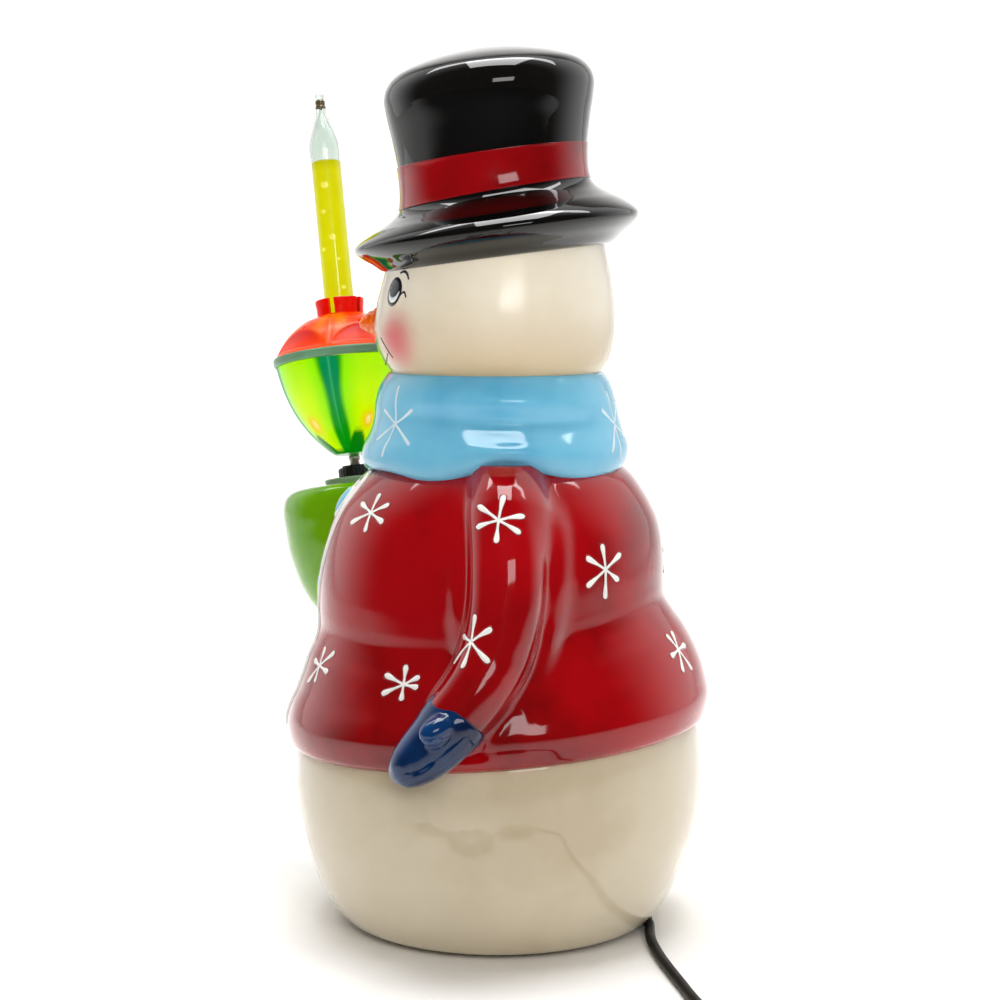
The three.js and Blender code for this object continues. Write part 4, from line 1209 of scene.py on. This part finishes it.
def cup_colours(angle, radius, height):
    """Painted glow of the lamp inside: bright lobes, a painted shadow behind each seam from the post inside, a
    foot in painted shade that rises where the lamp's holder shades it, a pale line along each seam and a
    painted glint at each vent.
    """
    apart = rib_apart(angle)
    middle = ease(0, 30, apart)
    lit = mixed(srgb(120, 240, 0), srgb(212, 255, 0), middle * (1 - 0.45 * ease(30, 52, height)))
    # painted shadow of the post inside behind each seam, wider near the foot and the rim
    wide = 3 * ease(36, 52, height) + 4 * (1 - ease(16, 34, height))
    boss_shadow = 1 - ease(4.5 + wide, 11 + wide, apart)
    dark = mixed(srgb(0, 150, 8), srgb(0, 140, 84), ease(22, 46, height) * (1 - ease(5.5, 9, apart)))
    out = mixed(lit, dark, boss_shadow)
    # painted shade over the foot, rising in part of each panel where the lamp's holder shades the cup
    beside = (np.degrees(angle - RIB_TURN) + 360) % 72
    holder_shade_rise = 7.5 * ease(2, 20, beside) * (1 - ease(26, 44, beside))
    out = mixed(out, srgb(0, 128, 10), 1 - ease(11.4 + holder_shade_rise, 13.6 + holder_shade_rise, height))
    seam = np.exp(-(apart / 0.9) ** 2) * ease(14, 30, height)
    out = mixed(out, srgb(70, 190, 130), 0.6 * seam)
    # painted glint at each vent, with a paler core
    across = vent_apart(apart)
    vent = np.exp(-(across / 2.8) ** 2 - ((height - VENT_HEIGHT) / 3.2) ** 2)
    out = mixed(out, srgb(255, 206, 0), np.clip(1.4 * vent, 0, 1))
    core = np.exp(-(across / 1.0) ** 2 - ((height - VENT_HEIGHT - 0.2) / 1.2) ** 2)
    return mixed(out, srgb(255, 242, 150), np.clip(1.5 * core, 0, 1))


def dome_colours(angle, radius, height):
    """Painted glow of the lamp inside: orange panels with painted light beside each seam, a painted highlight
    along the seams, painted shade of deeper red in the pressed hollows, a paler band at the foot, a red
    collar, and painted shade of dark red on the inner face.
    """
    apart = rib_apart(angle)
    hollow = 1 - ease(0.7, 1.25, arch_from(apart, height))
    # painted light: lighter orange beside each seam, higher up the dome
    beside = np.exp(-((apart - 12) / 9) ** 2) * ease(58, 69, height)
    panel = mixed(srgb(255, 68, 0), srgb(255, 120, 0), beside)
    # painted shade: deeper red in the pressed hollows, more so higher up
    pressed = mixed(srgb(255, 64, 0), srgb(214, 8, 0), ease(57, 66, height))
    out = mixed(panel, pressed, hollow * ease(0, 12, apart))
    # painted highlight along each seam
    out = mixed(out, srgb(255, 112, 52), 0.8 * np.exp(-(apart / 1.4) ** 2))
    out = mixed(out, srgb(255, 92, 44), 1 - ease(56.7, 58.6, height))
    out = mixed(out, srgb(226, 10, 0), ease(73, 74.2, height))
    skin = np.interp(height, [56.3, 59.6, 64.6, 69.8, 72.4, 74, 81], [28.6, 26.9, 23, 16.6, 9.4, 9.1, 9.3])
    # painted shade: dark red on the inner face
    return mixed(out, srgb(120, 4, 0), 1 - ease(-0.3, 0.5, radius - skin))


def glowing(name, share, own, roughness):
    """Translucent moulding lit from inside; the light it lets through is stored as a colour at each point.
    share is how much of that colour it gives off, own how much it shows under the room's light."""
    n = Nodes(name, (0.5, 0.5, 0.5), roughness, Coat_Weight=0.06, Coat_Roughness=0.06,
              Specular_IOR_Level=0.14, Emission_Strength=1.0)
    stored = n.new("ShaderNodeAttribute")
    stored.attribute_name = "glow"
    uneven = n.level(n.noise(95.0, 4.0), 0.93, 1.05)
    for socket, factor in (("Base Color", own), ("Emission Color", share)):
        gain = n.new("ShaderNodeMath")
        gain.operation = "MULTIPLY"
        gain.inputs[1].default_value = factor
        n.wire(uneven, gain.inputs[0])
        n.wire(n.dimmed(stored.outputs["Color"], gain.outputs["Value"]), n.shader.inputs[socket])
    n.bump(n.noise(700.0, 2.0), 0.00002, 0.4)
    return n.material


def light_part(name, profile, segments, per, material, slot, body="bubble_light", node=None, **form):
    """A turned piece of the light, stood on its axis; form goes to revolve."""
    piece = revolve(name, profile, segments, per, place=LIGHT_PLACE, **form)
    return finish_piece(piece, material, body, (node,) if node else ())


def knurl(angle, radius, height):
    """Flutes pressed into the nut's outer face."""
    return radius - 0.22 * (radius > 7.4) * np.abs(np.sin(14 * angle))


def make_light_body():
    light_part("light_holder_glazed", HOLDER, 144, 6, leaf_glaze, "green_glaze", "root", "light_holder",
               ring=True)
    light_part("socket_disc_moulded", DISC, 96, 3, disc_plastic, "disc_plastic", "root", "socket_disc",
               ring=True)
    light_part("collar_nut_moulded", NUT, 224, 4, black_plastic, "black_plastic", "collar_nut", "collar_nut",
               ring=True, shape=knurl)
    light_part("light_stem_turned", STEM, 56, 4, steel, "stem_steel", node="light_stem")


def make_cup():
    cup = revolve("light_cup_moulded", CUP, 360, 5, ring=True, shape=cup_shape)
    tinted(cup, cup_colours).data.transform(LIGHT_PLACE)
    cup_plastic = glowing("cup_plastic", 0.8, 0.22, 0.24)
    finish_piece(cup, cup_plastic, "bubble_light", ("light_cup",))
    light_part("cup_rim_moulded", RIM, 144, 3, rim_plastic, "rim_plastic", node="cup_rim", ring=True)


def knife(name, place, drill=None, block=None):
    """A round drill (radius, length) or a block (three sides) for cutting, all in mm."""
    work = bmesh.new()
    if drill:
        radius, length = drill[0] * MM, drill[1] * MM
        bmesh.ops.create_cone(work, cap_ends=True, segments=24, radius1=radius, radius2=radius, depth=length)
    else:
        bmesh.ops.create_cube(work, size=MM, matrix=Matrix.Diagonal((*block, 1)))
    mesh = kept(work, name)
    mesh.transform(place)
    return bpy.data.objects.new(name, mesh)


def gaps(count, first):
    """Turns about the light's axis to the middle of every gap between evenly spaced ribs."""
    return [Matrix.Rotation(first + 2 * math.pi * (i + 0.5) / count, 4, "Z") for i in range(count)]


def make_dome():
    """Ribbed shade with drilled vents and a collar of five merlons."""
    dome = revolve("light_dome_moulded", DOME, 360, 5, ring=True, shape=dome_shape)
    drill_place = Matrix.Translation((0.0222, 0, 0.0685)) @ Matrix.Rotation(math.radians(38), 4, "Y")
    saw_place = Matrix.Translation((0.0100, 0, 0.0778))
    knives = [knife("drill", turn @ drill_place, drill=(1.1, 8)) for turn in gaps(RIBS, RIB_TURN)]
    knives += [knife("saw", turn @ saw_place, block=(4.0, 2.5, 7.4)) for turn in gaps(MERLONS, MERLON_TURN)]
    cutters = joined("dome_cutters", knives)
    applied(dome, ("BOOLEAN", {"object": cutters, "operation": "DIFFERENCE", "solver": "EXACT"}))
    bpy.data.objects.remove(cutters)
    dome.data.set_sharp_from_angle(angle=math.radians(50))
    tinted(dome, dome_colours).data.transform(LIGHT_PLACE)
    dome_plastic = glowing("dome_plastic", 0.86, 0.16, 0.26)
    finish_piece(dome, dome_plastic, "bubble_light", ("light_dome",))


def clear_glass(name):
    """Blown glass with a faint green cast and slow ripples."""
    n = Nodes(name, srgb(232, 240, 234), 0.02, Transmission_Weight=1.0, IOR=1.45)
    n.paint(n.ramp(n.noise(90.0, 2.0), (0.3, srgb(224, 234, 227)), (0.7, srgb(238, 245, 240))))
    n.bump(n.noise(120.0, 2.0), 0.00006, 0.3)
    return n.material


def liquid_colours(angle, radius, height):
    """A deep yellow at the foot, brighter above it and duller under the surface."""
    low = mixed(srgb(238, 214, 0), srgb(240, 232, 0), ease(60, 100, height))
    return mixed(low, srgb(216, 208, 0), ease(138, 144, height))


# Bubbles against the glass: height in mm, bearing, half width and half height in mm.
BUBBLES = [
    (61, 8, 2.3, 0.7), (69, -18, 1.0, 1.6), (72, 28, 0.9, 1.2), (78, -4, 1.3, 1.5), (84, -34, 0.8, 1.3),
    (86, 22, 1.2, 1.4), (93, -12, 0.9, 1.1), (99, 16, 1.0, 1.5), (104, -26, 1.2, 1.3), (109, 4, 1.5, 1.7),
    (116, 30, 0.8, 1.1), (121, -14, 1.3, 1.6), (127, 12, 1.0, 1.2), (133, -4, 1.7, 2.0),
    (138, -30, 1.1, 1.4),
]
BUBBLE_SPREAD = 1.6    # degrees round the vial for each degree of a bubble's bearing
BUBBLE_PLACE = 5.38    # of a bubble's middle from the vial's axis, mm


def make_vial():
    liquid = revolve("vial_liquid_lit", LIQUID, 64, 5)
    tinted(liquid, liquid_colours).data.transform(LIGHT_PLACE)
    finish_piece(liquid, glowing("liquid", 0.8, 0.25, 0.3), "bubble_light", ("vial_liquid",))
    parts = []
    flat = Matrix.Diagonal((0.32, 1, 1, 1))
    for height, turn, wide, tall in BUBBLES:
        profile = [(wide * math.sin(t), -tall * math.cos(t)) for t in np.linspace(0.02, math.pi - 0.02, 9)]
        for side in range(2):
            bearing = Matrix.Rotation(math.radians(turn * BUBBLE_SPREAD + 180 * side), 4, "Z")
            shift = Matrix.Translation((BUBBLE_PLACE * MM, 0, (height + 3 * side) * MM))
            place = LIGHT_PLACE @ bearing @ shift @ flat
            parts.append(revolve(f"bubble_{len(parts)}", profile, 16, 2, place=place))
    finish_piece(joined("vial_bubbles", parts), bubble_gas_glint, "bubble_light")
    light_part("vial_blown", VIAL, 72, 5, clear_glass("vial_glass"), "vial_glass", node="vial", ring=True)
    light_part("vial_neck_band", NECK, 40, 3, scorched, "stem_steel", ring=True)
    light_part("vial_tip_blown", TIP, 40, 5, clear_glass("tip_glass"), "vial_glass", node="vial_tip")


disc_plastic = plastic("disc_plastic", srgb(150, 176, 150), 0.3).material
rim_plastic = plastic("rim_plastic", srgb(104, 152, 118), 0.3).material
# the bubbles give off a pale yellow light: a painted glint of the lamp in them
bubble_gas_glint = plastic("bubble_gas_glint", srgb(200, 190, 0), 0.15, Emission_Color=(*srgb(255, 246, 120), 1),
                     Emission_Strength=0.7).material
scorched = plastic("scorched_glass", srgb(120, 110, 84), 0.16, Metallic=0.6).material
lamp_glass = plastic("lamp_glass", srgb(255, 240, 214), 0.3, Emission_Color=(*srgb(255, 214, 150), 1),
                     Emission_Strength=2.0).material


# ---------------------------------------------------------------- what stays as the frame made it
def felt_material():
    n = Nodes("felt", srgb(44, 90, 52), 0.95, Sheen_Weight=0.5)
    n.paint(n.ramp(n.noise(240.0, 6.0, 0.7), (0.35, srgb(30, 66, 38)), (0.65, srgb(62, 112, 70))))
    n.bump(n.noise(900.0, 6.0, 0.7), 0.0004, 0.8)
    return n.material


def board_material():
    n = Nodes("board", srgb(154, 123, 82), 0.9)
    fibres = n.noise(120.0, 6.0, 0.7, (1, 9, 1))
    n.paint(n.ramp(fibres, (0.3, srgb(136, 106, 68)), (0.7, srgb(172, 140, 98))))
    n.bump(fibres, 0.0002, 0.5)
    return n.material


def finish_frame_nodes():
    for node, material in {
        "base_felt": felt_material(), "base_cover": board_material(), "cord_clamp": black_plastic,
        "inner_lead": cord_jacket, "socket_body": black_plastic, "socket_contact": brass,
        "bulb_holder": black_plastic, "lamp_bulb": lamp_glass,
    }.items():
        paint_node(node, material)


# darker red for the band round each jacket snowflake: painted shade at the edge of the raised slip
flake_edge_shade = glaze("flake_edge_shade", srgb(132, 2, 14), srgb(112, 0, 10), srgb(140, 4, 18)).material

make_lower_body()
jacket = make_jacket()
scarf = make_scarf()
head = make_head()
make_hat()
make_nose()
make_hands()
jacket_skin, scarf_skin, head_skin = Skin(jacket), Skin(scarf), Skin(head)
make_placket(jacket_skin)
make_flakes("jacket_snowflakes", jacket_skin, JACKET_FLAKES, 0.55, 1.2, 0.4, slip_white,
            flake_edge_shade)
make_flakes("scarf_snowflakes", scarf_skin, SCARF_FLAKES, 0.5, 0.75, 0.18, pale_slip)
make_face(head_skin)
make_light_body()
make_cup()
make_dome()
make_vial()
finish_frame_nodes()


# ---------------------------------------------------------------- stage and light
STAGE_FRONT, STAGE_HALF_WIDTH, STAGE_TOP = 2.0, 2.0, 4.0
STAGE_BEND = 1.2        # X behind the object where the paper starts to rise, and the radius of the rise
STAGE_TURN = math.radians(5)
# The paper keeps its white up to the first X and is dark from the second.
STAGE_FADE = {"From_Min": 0.2, "From_Max": 0.85, "To_Min": 1.0, "To_Max": 0.06}


def add_stage():
    """Pale floor that sweeps up into a backdrop behind the object and darkens on its other side."""
    n = Nodes("stage_paper", srgb(252, 252, 252), 0.85)
    paper = n.ramp(n.noise(30.0, 4.0), (0.3, srgb(250, 250, 250)), (0.7, srgb(254, 254, 254)))
    n.paint(n.dimmed(paper, n.mapped(n.along("X"), "SMOOTHSTEP", **STAGE_FADE)))
    n.bump(n.noise(300.0, 3.0), 0.00005, 0.3)
    rows = []
    for s in np.linspace(0, 1, 40):
        if s < 0.5:
            rows.append((STAGE_FRONT - (STAGE_FRONT + STAGE_BEND) * s / 0.5, 0.0))
        else:
            a = (s - 0.5) / 0.5 * math.pi / 2
            rows.append((-STAGE_BEND * (1 + math.sin(a)), STAGE_BEND * (1 - math.cos(a))))
    rows.append((-2 * STAGE_BEND, STAGE_TOP))
    turn = Matrix.Rotation(STAGE_TURN, 3, "Z")
    verts = [turn @ Vector((x, y, z)) for x, z in rows for y in (-STAGE_HALF_WIDTH, STAGE_HALF_WIDTH)]
    faces = [(2 * i, 2 * i + 1, 2 * i + 3, 2 * i + 2) for i in range(len(rows) - 1)]
    mesh = bpy.data.meshes.new("stage_sweep")
    mesh.from_pydata([tuple(v) for v in verts], [], faces)
    mesh.materials.append(n.material)
    placed("stage_sweep", smoothed(mesh))


def add_area(name, place, target, size, power, color=(1, 1, 1), glossy=True):
    """A rectangular lamp, in metres and watts; one that is not glossy shows in no reflection."""
    data = bpy.data.lights.new(name, "AREA")
    data.shape = "RECTANGLE"
    data.size, data.size_y = size
    data.energy = power
    data.color = color
    lamp = placed(name, data)
    lamp.location = place
    lamp.rotation_euler = (Vector(target) - Vector(place)).to_track_quat("-Z", "Y").to_euler()
    lamp.visible_glossy = glossy
    return lamp


# Colour of the world behind the object, and on the side where the camera stands.
WORLD_SIDES = ((1.0, 1.0, 1.0), (0.075, 0.065, 0.055))


def add_world():
    """White studio walls behind and beside the object, and a dim warm room on the other side."""
    world = bpy.data.worlds.new("studio")
    world.use_nodes = True
    tree = world.node_tree
    back = tree.nodes["Background"]
    way = tree.nodes.new("ShaderNodeTexCoord")
    split = tree.nodes.new("ShaderNodeSeparateXYZ")
    fade = tree.nodes.new("ShaderNodeValToRGB")
    tree.links.new(way.outputs["Generated"], split.inputs[0])
    turn = tree.nodes.new("ShaderNodeMapRange")
    turn.inputs["From Min"].default_value = -0.5
    turn.inputs["From Max"].default_value = 0.25
    tree.links.new(split.outputs["X"], turn.inputs["Value"])
    tree.links.new(turn.outputs["Result"], fade.inputs["Fac"])
    tree.links.new(fade.outputs["Color"], back.inputs["Color"])
    fade.color_ramp.interpolation = "EASE"
    for element, color in zip(fade.color_ramp.elements, WORLD_SIDES):
        element.color = (*color, 1)
    back.inputs["Strength"].default_value = 1.1
    bpy.context.scene.world = world


def add_light():
    add_world()
    middle = (0, 0, 0.19)
    add_area("key_box", (1.45, 0.52, 0.72), middle, (0.62, 0.4), 4)
    add_area("top_box", (-0.05, 0.0, 1.8), middle, (0.9, 0.9), 20)
    add_area("paper_box", (-0.5, 0.0, 1.9), (-2.2, 0, 0.7), (2.4, 0.8), 42)
    add_area("bounce_box", (1.05, 0.1, 0.85), (0, 0, 0.26), (0.9, 0.7), 5, (1, 0.94, 0.85), glossy=False)
    face = add_area("face_box", (1.15, 0.1, 0.42), (0, 0, 0.262), (0.2, 0.2), 0.03, (1, 0.98, 0.94),
                    glossy=False)
    face.data.spread = math.radians(11)


add_stage()
add_light()
